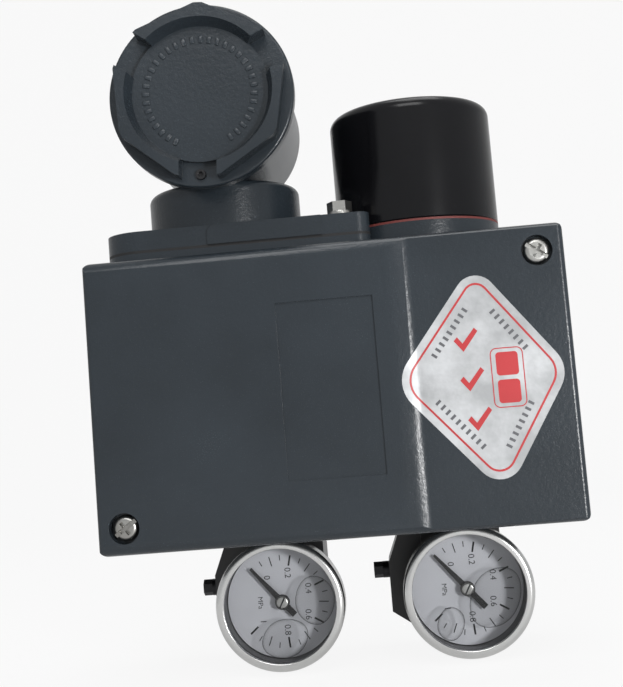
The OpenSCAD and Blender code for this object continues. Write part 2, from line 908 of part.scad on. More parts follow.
module nozzle() {
    x0 = nozzle_block_x + nozzle_block_w;
    tip_l = 4;
    color("goldenrod") difference() {
        union() {
            rod_x(motor_y, flapper_z, nozzle_r, x0 - 7, nozzle_tip - tip_l);
            translate([x0, motor_y, flapper_z]) rotate([0, 90, 0]) linear_extrude(2.5) hex(8);
            translate([nozzle_tip - tip_l - eps, motor_y, flapper_z]) rotate([0, 90, 0])
                cylinder(r1 = nozzle_r, r2 = 1.2, h = tip_l + eps);
        }
        rod_x(motor_y, flapper_z, 0.5, x0 - 8, nozzle_tip + 1);
    }
}

module nozzle_tube() {
    color("peru") rod_x(tube_y, tube_z, tube_r, relay_x + relay_w / 2, nozzle_block_x);
}

module relay_body() {
    color("slategray") difference() {
        union() {
            translate([relay_x, 0, relay_z]) along_y(relay_front, relay_back) round_rect(relay_w, relay_h, relay_r);
            rod_y(relay_x, stack_z, stack_r, relay_front - eps, relay_back);
        }
        rod_y(relay_x, stack_z, stack_bore_r, relay_front - 1, relay_front + stack_bore_l);
        at_stack_screws() rod_y(0, 0, stack_screw_r + 0.1, relay_front - 1, relay_front + stack_screw_bite + 1);
        rod_y(relay_x - adjust_dx, adjust_z, mode_r + run, relay_front - 1, relay_front + adjust_l + 1);
        rod_y(relay_x + adjust_dx, adjust_z, restrict_r + run, relay_front - 1, relay_front + adjust_l + 1);
        at_relay_bolts() rod_y(0, 0, relay_bolt_r + gap, relay_front - 1, relay_back + 1);
    }
}

module relay_diaphragm() {
    color("#2b2420") difference() {
        rod_y(relay_x, stack_z, stack_r, relay_front - stack_t - eps, relay_front - eps);
        at_stack_screws() rod_y(0, 0, stack_screw_r + 0.2, relay_front - stack_t - 1, relay_front + 1);
    }
}

module relay_cover() {
    back = relay_front - stack_t - eps;
    color("silver") difference() {
        union() {
            rod_y(relay_x, stack_z, stack_r, back - stack_flange, back);
            translate([relay_x, back - stack_flange + eps, stack_z]) rotate([90, 0, 0]) rotate_extrude()
                soft_corner(stack_dome_r, stack_dome_h, 2.5);
        }
        rod_y(relay_x, stack_z, stack_dome_r - stack_wall, back - stack_flange + 0.8, back + 1);
        at_stack_screws() rod_y(0, 0, stack_screw_r + 0.2, back - stack_flange - 1, back + 1);
    }
}

module relay_screws() {
    color("silver") at_stack_screws() translate([0, relay_front - stack_t - eps - stack_flange, 0]) {
        cross_head(2.3, 1.8);
        rod_y(0, 0, stack_screw_r, -eps, stack_flange + stack_t + stack_screw_bite);
    }
}

module relay_bolts() {
    color("silver") at_relay_bolts() translate([0, relay_front, 0]) {
        cross_head(2.9, 2.2);
        rod_y(0, 0, relay_bolt_r, -eps, relay_back - relay_front + relay_bolt_bite);
    }
}

module restrictor() {
    color("goldenrod") translate([relay_x + adjust_dx, relay_front, adjust_z]) {
        along_y(-restrict_h, 0) hex(restrict_af);
        rod_y(0, 0, restrict_r, -eps, adjust_l);
    }
}

module mode_switch() {
    color("goldenrod") translate([relay_x - adjust_dx, relay_front - gap, adjust_z]) difference() {
        union() {
            rotate([90, 0, 0]) rotate_extrude() soft_corner(mode_head_r, mode_head_h, 0.8);
            rod_y(0, 0, mode_r, -eps, adjust_l);
        }
        translate([-mode_slot_w / 2, -mode_head_h - 1, -mode_head_r - 1])
            cube([mode_slot_w, mode_slot_d + 1, 2 * mode_head_r + 2]);
    }
}

module feedback_shaft() {
    head_l = 2;
    color("silver") difference() {
        union() {
            rod_y(shaft_x, shaft_z, shaft_r, shaft_front, shaft_out);
            rod_y(shaft_x, shaft_z, shaft_head_r, gap, gap + head_l);
        }
        rod_y(shaft_x, shaft_z, 1.65, shaft_out - 9, shaft_out + 1);
        difference() {
            rod_y(shaft_x, shaft_z, shaft_r + 0.5, shaft_boss_y - bush_lip - 1.4, shaft_boss_y - bush_lip - 0.2);
            rod_y(shaft_x, shaft_z, shaft_r - 0.4, shaft_boss_y - 9, shaft_boss_y);
        }
    }
}

module shaft_bushes() {
    outer = shaft_r + bush_t - press;
    color("goldenrod") difference() {
        union() {
            rod_y(shaft_x, shaft_z, outer, shaft_boss_y, shaft_boss_y + bush_l);
            rod_y(shaft_x, shaft_z, shaft_r + bush_t + 2, shaft_boss_y - bush_lip, shaft_boss_y);
            rod_y(shaft_x, shaft_z, outer, -bush_l, 0);
        }
        rod_y(shaft_x, shaft_z, shaft_r + run, shaft_boss_y - 9, 9);
    }
}

module shaft_circlip() {
    back = shaft_boss_y - bush_lip - gap;
    color("dimgray") difference() {
        rod_y(shaft_x, shaft_z, shaft_r + 2.2, back - 1, back);
        rod_y(shaft_x, shaft_z, shaft_r - 0.3, back - 2, back + 1);
        translate([shaft_x - 1.4, back - 2, shaft_z]) cube([2.8, 4, 9]);
    }
}

module span_arm() {
    color("lightsteelblue") difference() {
        union() {
            rod_y(shaft_x, shaft_z, shaft_r + 4, hub_front, hub_back);
            translate([shaft_x, 0, 0]) {
                along_y(arm_y - arm_t, arm_y) {
                    translate([-arm_w / 2, shaft_z]) square([arm_w, arm_l - arm_w / 2]);
                    translate([0, shaft_z]) circle(arm_w / 2);
                    translate([0, shaft_z + arm_l - arm_w / 2]) circle(arm_w / 2);
                }
                for (z = [lug_low, lug_high])
                    translate([-arm_w / 2, span_y - 5, z]) cube([arm_w, arm_y - arm_t - span_y + 5 + 1, lug_t]);
            }
        }
        rod_y(shaft_x, shaft_z, shaft_r + press, hub_front - 1, hub_back + 1);
        rod_z(shaft_x, span_y, span_r + run, lug_low - 1, lug_high + lug_t + 1);
        translate([shaft_x - 1.6, arm_y - arm_t - 1, lug_low + 8]) cube([3.2, arm_t + 2, lug_high - lug_low - 13]);
    }
}

module span_screw() {
    head_r = span_head_r;
    head_l = 5;
    z1 = lug_high + lug_t + gap;
    color("goldenrod") {
        rod_z(shaft_x, span_y, span_r, lug_low - 3, z1 + eps);
        difference() {
            rod_z(shaft_x, span_y, head_r, z1, z1 + head_l);
            for (a = [0 : 20 : 340])
                translate([shaft_x, span_y, 0]) rotate(a) translate([head_r + 0.35, 0, z1 - 1])
                    cylinder(r = 0.75, h = head_l + 2);
            translate([shaft_x - 8, span_y - 0.5, z1 + head_l - 1.2]) cube([16, 1, 3]);
        }
        difference() {
            rod_z(shaft_x, span_y, span_r + 1.6, lug_low - 2.3, lug_low - gap);
            rod_z(shaft_x, span_y, span_r - 0.2, lug_low - 5, lug_low);
        }
    }
}

module span_slider() {
    back = arm_y - arm_t - gap;
    color("goldenrod") {
        difference() {
            translate([shaft_x - slider_w / 2, span_y - 4.5, slider_z - slider_h / 2])
                cube([slider_w, back - span_y + 4.5, slider_h]);
            rod_z(shaft_x, span_y, span_r + run, slider_z - slider_h, slider_z + slider_h);
        }
        translate([shaft_x + slider_w / 2 - 1, tongue_y, slider_z - tongue_t / 2])
            cube([hook_at - slider_w / 2 + 1 + tongue_t / 2, tongue_t, tongue_t]);
        rod_y(shaft_x + hook_at, slider_z, hook_r, pin_front, tongue_y + 1);
    }
}

// A round wire along a list of points, as a closed tube with six sides
module wire(points, r) {
    sides = 6;
    n = len(points);
    function unit(v) = v / norm(v);
    function way(i) = unit(points[min(i + 1, n - 1)] - points[max(i - 1, 0)]);
    function across(t) = unit(cross(t, abs(t[2]) < 0.9 ? [0, 0, 1] : [1, 0, 0]));
    rings = [for (i = [0 : n - 1]) let (t = way(i), u = across(t), v = cross(t, u))
        for (k = [0 : sides - 1]) points[i] + r * (cos(360 * k / sides) * u + sin(360 * k / sides) * v)];
    sides_faces = [for (i = [0 : n - 2], k = [0 : sides - 1]) let (m = (k + 1) % sides)
        [i * sides + k, i * sides + m, (i + 1) * sides + m, (i + 1) * sides + k]];
    ends = [[for (k = [sides - 1 : -1 : 0]) k], [for (k = [0 : sides - 1]) (n - 1) * sides + k]];
    polyhedron(rings, concat([for (f = sides_faces) [f[3], f[2], f[1], f[0]]],
        [for (e = ends) [for (k = [len(e) - 1 : -1 : 0]) e[k]]]), convexity = 6);
}

// Points of a coil along X with an eye at each end
function coil_x(x0, x1, r, turns, steps) = [for (i = [0 : turns * steps])
    [x0 + (x1 - x0) * i / (turns * steps), r * sin(360 * i / steps), r * cos(360 * i / steps)]];

function eye_x(x, r, from, to, steps) = [for (i = [0 : steps]) let (a = from + (to - from) * i / steps)
    [x + r * cos(a), 0, r * sin(a)]];

module feedback_spring() {
    left = shaft_x + hook_at;
    right = motor_x;
    lead = eye_r + 2.5;
    body = coil_x(left + lead, right - lead, spring_r, spring_turns, 12);
    points = concat(eye_x(left, eye_r, -60, -300, 8), body, eye_x(right, eye_r, 120, -120, 8));
    color("silver") translate([0, span_y, slider_z]) wire(points, spring_wire);
}

module zero_bracket() {
    foot_h = 20;
    color("lightsteelblue") difference() {
        union() {
            translate([zero_plate_x, 0, 0]) along_x(0, zero_plate_t) {
                translate([motor_y, zero_z - foot_h / 2]) square([floor_y - motor_y, foot_h]);
                translate([motor_y, zero_z]) circle(foot_h / 2);
            }
            translate([zero_plate_x, floor_y - 3, zero_z - foot_h / 2]) cube([14, 3, foot_h]);
        }
        rod_x(motor_y, zero_z, zero_r + run, zero_plate_x - 1, zero_plate_x + zero_plate_t + 1);
    }
}

module zero_knob() {
    x0 = zero_plate_x + zero_plate_t + gap;
    color("goldenrod") {
        rod_x(motor_y, zero_z, zero_r, zero_plate_x - zero_in, x0 + eps);
        difference() {
            rod_x(motor_y, zero_z, zero_head_r, x0, x0 + zero_head_l);
            for (a = [0 : 15 : 345])
                translate([x0 - 1, motor_y, zero_z]) rotate([a, 0, 0]) translate([0, zero_head_r + 0.5, 0])
                    rotate([0, 90, 0]) cylinder(r = 1, h = zero_head_l + 2);
            rod_x(motor_y, zero_z, zero_head_r - 3, x0 + zero_head_l - 1.5, x0 + zero_head_l + 1);
        }
    }
}

module zero_spring() {
    x0 = motor_x + bar_x / 2 + gap + spring_wire;
    x1 = zero_plate_x - zero_in - gap - spring_wire;
    color("silver") translate([0, motor_y, zero_z]) wire(coil_x(x0, x1, spring_r, 5, 12), spring_wire);
}

// Left wing of an air block: a flat side over its plug, drawn in to the top and, below low, to the foot
module wing_plan(low, tip) {
    polygon([[0, -top_z], [-wing_l + wing_in, -top_z], [-wing_l, gauge_z + 8.5], [-wing_l, low], [tip, low - 9],
        [0, low - 9]]);
}

module foot_plan() {
    hull() {
        translate([-foot_l, -top_z - foot_round]) square([foot_l, foot_round]);
        translate([-foot_l + foot_round, -top_z - foot_t + foot_round]) circle(foot_round);
        translate([-foot_round, -top_z - foot_t]) square(foot_round);
    }
}

// Air block under the case, its children added to its left, with a side hole at height z
module manifold(x, z) {
    color(cap_black) translate([x, 0, 0]) difference() {
        union() {
            translate([0, 0, (block_low - top_z) / 2]) along_y(block_front, block_back)
                round_rect(block_w, -top_z - block_low, 2);
            along_y(wing_front, block_back) children();
        }
        rod_y(0, gauge_z, stem_r + run, block_front - 1, block_front + stem_l + 2);
        rod_z(0, (block_front + block_back) / 2 + 1, port_r, block_low - 1, block_low + port_deep);
        rod_z(0, gallery_y, gallery_r, gauge_z, -top_z + 1);
        for (side = [-1, 1])
            rod_z(side * manifold_screw_dx, manifold_screw_y, manifold_screw_r + 0.1, -top_z - 13, -top_z + 1);
        difference() {
            rod_z(0, gallery_y, gallery_r + ring_w + 0.2, -top_z - 1, -top_z + 1);
            rod_z(0, gallery_y, gallery_r + 0.2, -top_z - 2, -top_z + 2);
        }
        rod_x(plug_y, z, plug_r + press, -wing_l - 1, -wing_l + 6);
    }
}

module supply_manifold() {
    manifold(supply_x, bleed_z) wing_plan(gauge_z - 2, -wing_l + 5);
}

module output_manifold() {
    manifold(output_x, plug_z) {
        wing_plan(gauge_z - 10, -block_w / 2);
        foot_plan();
    }
}

module manifold_screws() {
    floor_z = -roof_z;
    color("silver") at_gauges() for (side = [-1, 1])
        translate([side * manifold_screw_dx, manifold_screw_y, 0]) difference() {
            union() {
                rod_z(0, 0, 3.4, floor_z, floor_z + 3);
                rod_z(0, 0, manifold_screw_r, -top_z - 12, floor_z + 1);
            }
            along_z(floor_z + 1.2, floor_z + 4) hex(3);
        }
}

module manifold_seals() {
    color("#1b1b1c") at_gauges() difference() {
        rod_z(0, gallery_y, gallery_r + ring_w, -top_z - 1, -top_z);
        rod_z(0, gallery_y, gallery_r + 0.4, -top_z - 2, -top_z + 1);
    }
}

// Screw plug in the left side of a block, a hexagon head over a round collar
module side_plug(x, z) {
    face = x - wing_l;
    collar_l = 2.5;
    translate([0, plug_y, z]) difference() {
        union() {
            rod_x(0, 0, plug_r, face - 1, face + 5);
            rod_x(0, 0, plug_head_r, face - collar_l, face);
            translate([face - plug_head_l, 0, 0]) rotate([0, 90, 0]) linear_extrude(plug_head_l - collar_l + eps)
                hex(1.7 * plug_head_r);
        }
        translate([face - plug_head_l - 1, 0, 0]) rotate([0, 90, 0]) linear_extrude(3.5) hex(0.8 * plug_head_r);
    }
}

module port_plug() {
    color("#1b1b1c") side_plug(output_x, plug_z);
}

module bleed_plug() {
    color("#1b1b1c") side_plug(supply_x, bleed_z);
}

module gauge_stems() {
    color("goldenrod") at_gauges() difference() {
        union() {
            rod_y(0, gauge_z, stem_r, block_front - 1, block_front + stem_l);
            translate([0, 0, gauge_z]) along_y(case_back, block_front) hex(hex_af);
            rod_y(0, gauge_z, stem_post_r, dial_front + dial_t, case_back + 1);
        }
        rod_y(0, gauge_z, spindle_r + run, dial_front - 1, dial_front + dial_t + 8);
        rod_y(0, gauge_z, 1.5, block_front, block_front + stem_l + 1);
    }
}

module gauge_cases() {
    back_t = 1.2;
    color("#1b1b1c") at_gauges() difference() {
        rod_y(0, gauge_z, shell_r, shell_front, case_back);
        rod_y(0, gauge_z, shell_r - shell_t, shell_front - 1, case_back - back_t);
        rod_y(0, gauge_z, stem_post_r + 0.1, shell_front, case_back + 1);
    }
}

// Section of the bezel: a rolled front lip, a straight band over the case
module bezel_section() {
    f0 = -gauge_front;
    lip_t = 1.7;
    band_r = shell_r + 0.15;
    difference() {
        translate([0, f0 - bezel_l]) soft_corner(gauge_r, bezel_l, 2);
        translate([0, f0 - bezel_l - 1]) square([band_r, bezel_l - lip_t + 1]);
        square([lip_r, tall]);
    }
}

module gauge_bezels() {
    color("silver") at_gauges() turned_y(0, gauge_z) bezel_section();
}

module gauge_windows() {
    color("lightcyan", 0.4) at_gauges() rod_y(0, gauge_z, shell_r - 0.1, shell_front - glass_t, shell_front);
}

module gauge_dials() {
    color("white") at_gauges() difference() {
        rod_y(0, gauge_z, dial_r, dial_front, dial_front + dial_t);
        rod_y(0, gauge_z, spindle_r + gap, dial_front - 1, dial_front + dial_t + 1);
    }
}

module bourdon_tubes() {
    y = (dial_front + case_back) / 2;
    color("goldenrod") at_gauges() translate([0, y, gauge_z]) rotate([90, 0, 0]) {
        rotate_extrude(angle = 250) translate([bourdon_r, 0]) circle(bourdon_tube);
        translate([stem_post_r + 0.05, 0, 0]) rotate([0, 90, 0])
            cylinder(r = bourdon_tube * 0.8, h = bourdon_r - stem_post_r);
    }
}

// Tapered pointer with a round hub, a tail and its spindle
module pointer(x, tail_l) {
    y0 = dial_front - 2.2;
    tip_w = 0.9;
    root_w = 2.2;
    hub_r = 2.6;
    translate([x, 0, gauge_z]) {
        color("#111111") along_y(y0, y0 + pointer_t) rotate(gauge_zero) {
            polygon([[0, -root_w / 2], [pointer_l, -tip_w / 2], [pointer_l, tip_w / 2], [0, root_w / 2]]);
            translate([-tail_l, -root_w / 2]) square([tail_l, root_w]);
        }
        color("silver") {
            rod_y(0, 0, hub_r, y0 - 1.2, y0 + pointer_t + 0.6);
            rod_y(0, 0, spindle_r, y0, dial_front + dial_t + 7);
        }
    }
}

module supply_pointer() {
    pointer(supply_x, 6.4);
}

module output_pointer() {
    pointer(output_x, 9.2);
}

base_housing();
cover_gasket();
front_cover();
screw_retainers();
cover_screw(-1);  // cover_screw_lower
cover_screw(1);  // cover_screw_upper
terminal_housing();
terminal_gasket();
flange_bolts();
terminal_block();
terminal_screws();
ground_screw();
terminal_lid();
lid_seal();
lid_lock_screw();
motor_cap();
cap_gasket();
motor_base();
motor_screws();
magnet();
pole_pieces();
motor_coil();
pivot_pin();
armature();
flapper();
nozzle_block();
nozzle();
nozzle_tube();
relay_body();
relay_diaphragm();
relay_cover();
relay_screws();
relay_bolts();
restrictor();
mode_switch();
feedback_shaft();
shaft_bushes();
shaft_circlip();
span_arm();
span_screw();
span_slider();
feedback_spring();
zero_bracket();
zero_knob();
zero_spring();
supply_manifold();
output_manifold();
manifold_screws();
manifold_seals();
port_plug();
bleed_plug();
gauge_stems();
gauge_cases();
gauge_bezels();
gauge_windows();
gauge_dials();
bourdon_tubes();
supply_pointer();
output_pointer();
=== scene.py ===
"""Valve positioner: finishes, springs, threads, gauge faces, decal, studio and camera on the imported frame."""

import json
import math

import bmesh
import bpy
from mathutils import Matrix, Vector
from mathutils.bvhtree import BVHTree


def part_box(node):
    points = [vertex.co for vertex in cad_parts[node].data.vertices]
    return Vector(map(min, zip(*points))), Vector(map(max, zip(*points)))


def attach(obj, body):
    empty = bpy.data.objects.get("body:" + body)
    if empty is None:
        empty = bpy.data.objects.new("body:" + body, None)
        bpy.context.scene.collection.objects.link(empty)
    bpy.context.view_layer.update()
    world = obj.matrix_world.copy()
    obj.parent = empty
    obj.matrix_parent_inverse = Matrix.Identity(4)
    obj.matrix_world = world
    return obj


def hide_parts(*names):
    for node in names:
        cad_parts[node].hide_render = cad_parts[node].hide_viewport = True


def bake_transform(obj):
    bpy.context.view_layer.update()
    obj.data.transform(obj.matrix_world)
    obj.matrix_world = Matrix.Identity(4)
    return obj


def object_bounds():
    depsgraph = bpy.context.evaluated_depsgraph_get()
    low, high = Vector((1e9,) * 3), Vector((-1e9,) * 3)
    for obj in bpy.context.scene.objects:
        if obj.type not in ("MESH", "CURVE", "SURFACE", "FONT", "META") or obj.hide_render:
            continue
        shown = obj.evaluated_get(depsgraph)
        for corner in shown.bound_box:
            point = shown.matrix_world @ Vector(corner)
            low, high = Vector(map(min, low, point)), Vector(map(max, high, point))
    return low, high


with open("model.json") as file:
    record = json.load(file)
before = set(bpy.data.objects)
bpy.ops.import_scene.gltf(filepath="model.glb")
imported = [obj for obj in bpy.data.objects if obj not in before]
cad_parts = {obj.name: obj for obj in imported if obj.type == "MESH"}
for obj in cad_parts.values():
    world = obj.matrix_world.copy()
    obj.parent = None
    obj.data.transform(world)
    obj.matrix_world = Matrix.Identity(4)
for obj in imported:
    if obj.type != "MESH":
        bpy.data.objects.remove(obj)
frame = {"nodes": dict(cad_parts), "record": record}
cad_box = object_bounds()
record = frame["record"]

MM = 0.001
WELD = 1e-6
BODY_OF = {node: body for body, nodes in record["behaviour"]["bodies"].items() for node in nodes}
SLOT_OF = {part["node"]: part["material_slot"] for part in record["subparts"]}
PIVOT = {j["name"]: Vector(j["pos_m"]) for j in record["behaviour"]["joints"] if "pos_m" in j}


# Shader writing

class Flow:
    """An output socket of a finish; arithmetic on it adds Math nodes."""

    def __init__(self, finish, socket):
        self.finish = finish
        self.socket = socket

    def maths(self, operation, *terms, clamp=False):
        settings = {"operation": operation, "use_clamp": clamp}
        return self.finish.add("ShaderNodeMath", settings, dict(enumerate(terms)))

    def __add__(self, other):
        return self.maths("ADD", self, other)

    def __mul__(self, other):
        return self.maths("MULTIPLY", self, other)

    def __sub__(self, other):
        return self.maths("SUBTRACT", self, other)

    def __rsub__(self, other):
        return self.maths("SUBTRACT", other, self)

    __radd__ = __add__
    __rmul__ = __mul__

    def clipped(self):
        return self.maths("ADD", self, 0.0, clamp=True)


class Finish:
    """One procedural material, or the world's air, read on Object coordinates."""

    def __init__(self, name, store=bpy.data.materials, end="ShaderNodeOutputMaterial"):
        self.made = store.new(name)
        self.made.use_nodes = True
        self.end = end
        self.tree = self.made.node_tree
        self.tree.nodes.clear()
        self.place = self.add("ShaderNodeTexCoord", out="Object")

    def add(self, kind, settings=None, sockets=None, out=0):
        """A node of this kind: its settings first, then the values or links of its sockets."""
        node = self.tree.nodes.new(kind)
        for key, value in (settings or {}).items():
            if key == "stops":
                while len(node.color_ramp.elements) < len(value):
                    node.color_ramp.elements.new(1.0)
                for element, (at, tone) in zip(node.color_ramp.elements, value):
                    element.position = at
                    element.color = (*tone, 1.0) if isinstance(tone, tuple) else (tone, tone, tone, 1.0)
            else:
                setattr(node, key, value)
        for key, value in (sockets or {}).items():
            if isinstance(value, Flow):
                self.tree.links.new(value.socket, node.inputs[key])
            else:
                node.inputs[key].default_value = value
        return Flow(self, node.outputs[out])

    def stretched(self, x, y, z):
        """Object coordinates scaled apart, for brushing and winding marks."""
        return self.add("ShaderNodeMapping", None, {"Vector": self.place, "Scale": (x, y, z)})

    def noise(self, scale, detail=2.0, rough=0.5, place=None):
        sockets = {"Vector": place or self.place, "Scale": scale, "Detail": detail, "Roughness": rough}
        return self.add("ShaderNodeTexNoise", None, sockets)

    def ramp(self, value, *stops):
        return self.add("ShaderNodeValToRGB", {"stops": stops}, {"Fac": value})

    def blend(self, share, under, over):
        """A colour mixed from two others, over in place of under where share is 1."""
        colours = [c if isinstance(c, Flow) else (*c, 1.0) for c in (under, over)]
        sockets = {0: share, 6: colours[0], 7: colours[1]}
        return self.add("ShaderNodeMix", {"data_type": "RGBA"}, sockets, out=2)

    def relief(self, height, depth):
        return self.add("ShaderNodeBump", None, {"Height": height, "Distance": depth})

    def surface(self, colour, rough, normal, constants=None):
        """The Principled shader and the output."""
        sockets = {"Base Color": colour, "Roughness": rough, "Normal": normal}
        return self.output(self.add("ShaderNodeBsdfPrincipled", None, sockets | (constants or {})))

    def output(self, shader):
        """Ends the tree with this shader."""
        end = self.tree.nodes.new(self.end)
        self.tree.links.new(shader.socket, end.inputs["Surface"])
        return self.made


# Finishes

WAVE_SCALE = 0.31


def shaded(colour, share):
    """A colour made darker or paler."""
    return tuple(share * c for c in colour)


def powder_paint(name, base, rough, worn):
    """Powder coat on a casting: orange peel, pale specks, cloudy gloss, and chips where edges are worn."""
    f = Finish(name)
    peel = f.noise(620, 2.0)
    fine = f.noise(2600, 1.0)
    clouds = f.noise(26, 3.0)
    tone = f.blend(f.ramp(clouds, (0.3, 0.0), (0.7, 1.0)), shaded(base, 0.88), shaded(base, 1.14))
    specks = f.ramp(f.noise(3000, 1.0), (0.66, 0.0), (0.76, 1.0))
    tone = f.blend(specks * 0.3, tone, shaded(base, 4.0))
    chips = f.ramp(f.noise(210, 4.0, 0.65), (0.60, 0.0), (0.68, 1.0)) * worn
    tone = f.blend(chips, tone, (0.17, 0.18, 0.19))
    gloss = rough - 0.06 + clouds * 0.08 + fine * 0.06
    bumps = f.relief(peel * 0.7 + fine * 0.3, 0.12 * MM)
    return f.surface(tone, gloss, bumps, {"Specular IOR Level": 0.4})


def plain_polymer(name, base, rough, grain=900, depth=0.05, shine=0.5):
    """Moulded plastic, rubber, ink or stove enamel with a fine grain."""
    f = Finish(name)
    clouds = f.noise(40, 2.0)
    tone = f.blend(clouds, shaded(base, 0.8), shaded(base, 1.2))
    gloss = rough - 0.05 + clouds * 0.1
    bumps = f.relief(f.noise(grain, 2.0), depth * MM)
    return f.surface(tone, gloss, bumps, {"Specular IOR Level": shine})


def bright_metal(name, base, rough, stretch=(1, 1, 1), scale=900, depth=0.02, dull=None):
    """Plated or machined metal: streaks along one way, tarnish in patches."""
    f = Finish(name)
    streaks = f.noise(scale, 2.0, place=f.stretched(*stretch))
    patches = f.noise(70, 3.0)
    tone = f.blend(f.ramp(patches, (0.35, 0.0), (0.75, 1.0)), base, dull or shaded(base, 0.72))
    gloss = rough - 0.08 + streaks * 0.1 + patches * 0.1
    return f.surface(tone, gloss, f.relief(streaks, depth * MM), {"Metallic": 1.0})


def spun_metal(name, base, rough):
    """Bezel metal with turning marks round the gauge's axis."""
    f = Finish(name)
    marks = f.noise(60, 1.0, place=f.stretched(1, 40, 1))
    smears = f.noise(45, 3.0)
    tone = f.blend(smears, shaded(base, 0.86), base)
    return f.surface(tone, rough + smears * 0.12, f.relief(marks, 0.012 * MM), {"Metallic": 1.0})


def wound_wire(name, base, pitch):
    """Layers of enamelled wire laid side by side up the coil, with painted shade in the grooves between the
    turns.
    """
    f = Finish(name)
    settings = {"wave_type": "BANDS", "bands_direction": "Z"}
    sockets = {"Vector": f.place, "Scale": WAVE_SCALE / pitch, "Distortion": 0.3}
    turns = f.add("ShaderNodeTexWave", settings, sockets)
    # The colour falls to a third between the turns: painted shade in the grooves.
    tone = f.blend(turns, shaded(base, 0.35), base)
    gloss = 0.28 + 0.15 * f.noise(300)
    return f.surface(tone, gloss, f.relief(turns, 0.15 * MM), {"Coat Weight": 0.4})


def clear_glass(name):
    """A flat gauge window: clear straight on, reflecting at a slant, with faint smears."""
    f = Finish(name)
    rim = f.add("ShaderNodeFresnel", None, {"IOR": 1.3})
    clear = f.add("ShaderNodeBsdfTransparent", None, {"Color": (0.97, 0.975, 0.98, 1.0)})
    smears = f.ramp(f.noise(120, 3.0), (0.45, 0.02), (0.7, 0.09))
    shine = f.add("ShaderNodeBsdfGlossy", None, {"Color": (1.0, 1.0, 1.0, 1.0), "Roughness": smears})
    return f.output(f.add("ShaderNodeMixShader", None, {0: rim, 1: clear, 2: shine}))


def bubble_skin(name):
    """Air in oil: clear in its middle, with a soft dark line round its edge painted in as the shade where its rim
    bends the light away.
    """
    f = Finish(name)
    slant = f.add("ShaderNodeLayerWeight", None, {"Blend": 0.5}, out="Facing")
    # Darker towards the rim: painted shade, not a colour of the air or oil.
    edge = f.ramp(slant, (0.03, 0.0), (0.5, 0.5))
    clear = f.add("ShaderNodeBsdfTransparent", None, {"Color": (0.99, 0.99, 0.99, 1.0)})
    grain = f.ramp(f.noise(200, 2.0), (0.4, 0.05), (0.6, 0.12))
    dark = f.add("ShaderNodeBsdfGlossy", None, {"Color": (0.10, 0.10, 0.11, 1.0), "Roughness": grain})
    return f.output(f.add("ShaderNodeMixShader", None, {0: edge, 1: clear, 2: dark}))


def enamel_face(name, base):
    """Printed dial enamel, a little clouded."""
    f = Finish(name)
    clouds = f.noise(55, 3.0)
    tone = f.blend(f.ramp(clouds, (0.4, 0.0), (0.8, 1.0)), base, shaded(base, 0.93))
    return f.surface(tone, 0.42 + clouds * 0.1, f.relief(f.noise(1500), 0.006 * MM))


def printed_foil(name, base, rough):
    """Thin silver foil, rubbed down by hand: fine brushing, small creases and cloudy patches."""
    f = Finish(name)
    streaks = f.noise(300, 2.0, place=f.stretched(1, 1, 14))
    clouds = f.noise(60, 4.0, 0.6)
    creases = f.noise(230, 3.0, 0.55)
    tone = f.blend(f.ramp(clouds, (0.36, 0.0), (0.64, 1.0)), shaded(base, 0.72), shaded(base, 1.12))
    gloss = rough + streaks * 0.1 - creases * 0.06
    return f.surface(tone, gloss, f.relief(creases + streaks * 0.1, 0.10 * MM), {"Metallic": 0.4})


PAINT = powder_paint("case_paint", (0.024, 0.031, 0.038), 0.24, 0.0)
# Edge paint: the case paint made paler for bevelled edges and raised pips as a painted highlight, with chips of
# real wear.
PAINT_EDGE_WEAR_AND_HIGHLIGHT = powder_paint("case_paint_edge_wear_and_highlight", (0.032, 0.040, 0.048), 0.24, 0.5)
ZINC = bright_metal("zinc", (0.50, 0.50, 0.48), 0.30, (1, 1, 1), 700, 0.02, (0.30, 0.29, 0.27))
STEEL = bright_metal("steel", (0.55, 0.56, 0.58), 0.32, (1, 6, 1))
BRASS = bright_metal("brass", (0.70, 0.49, 0.19), 0.28, (1, 8, 1), 500, 0.02, (0.50, 0.32, 0.11))
# Black ink for the dial print, also used as the painted shade of the hub caps' slots.
INK_AND_SLOT_SHADE = plain_polymer("dial_ink_and_slot_shade", (0.010, 0.010, 0.012), 0.6, shine=0.2)
FOIL = printed_foil("decal_foil", (0.50, 0.51, 0.52), 0.46)
RED_INK = plain_polymer("decal_red", (0.50, 0.03, 0.035), 0.42, 1400, 0.01)
BUBBLE = bubble_skin("filling_bubble")
GREY_INK = plain_polymer("decal_grey", (0.11, 0.11, 0.12), 0.45, 1400, 0.01)

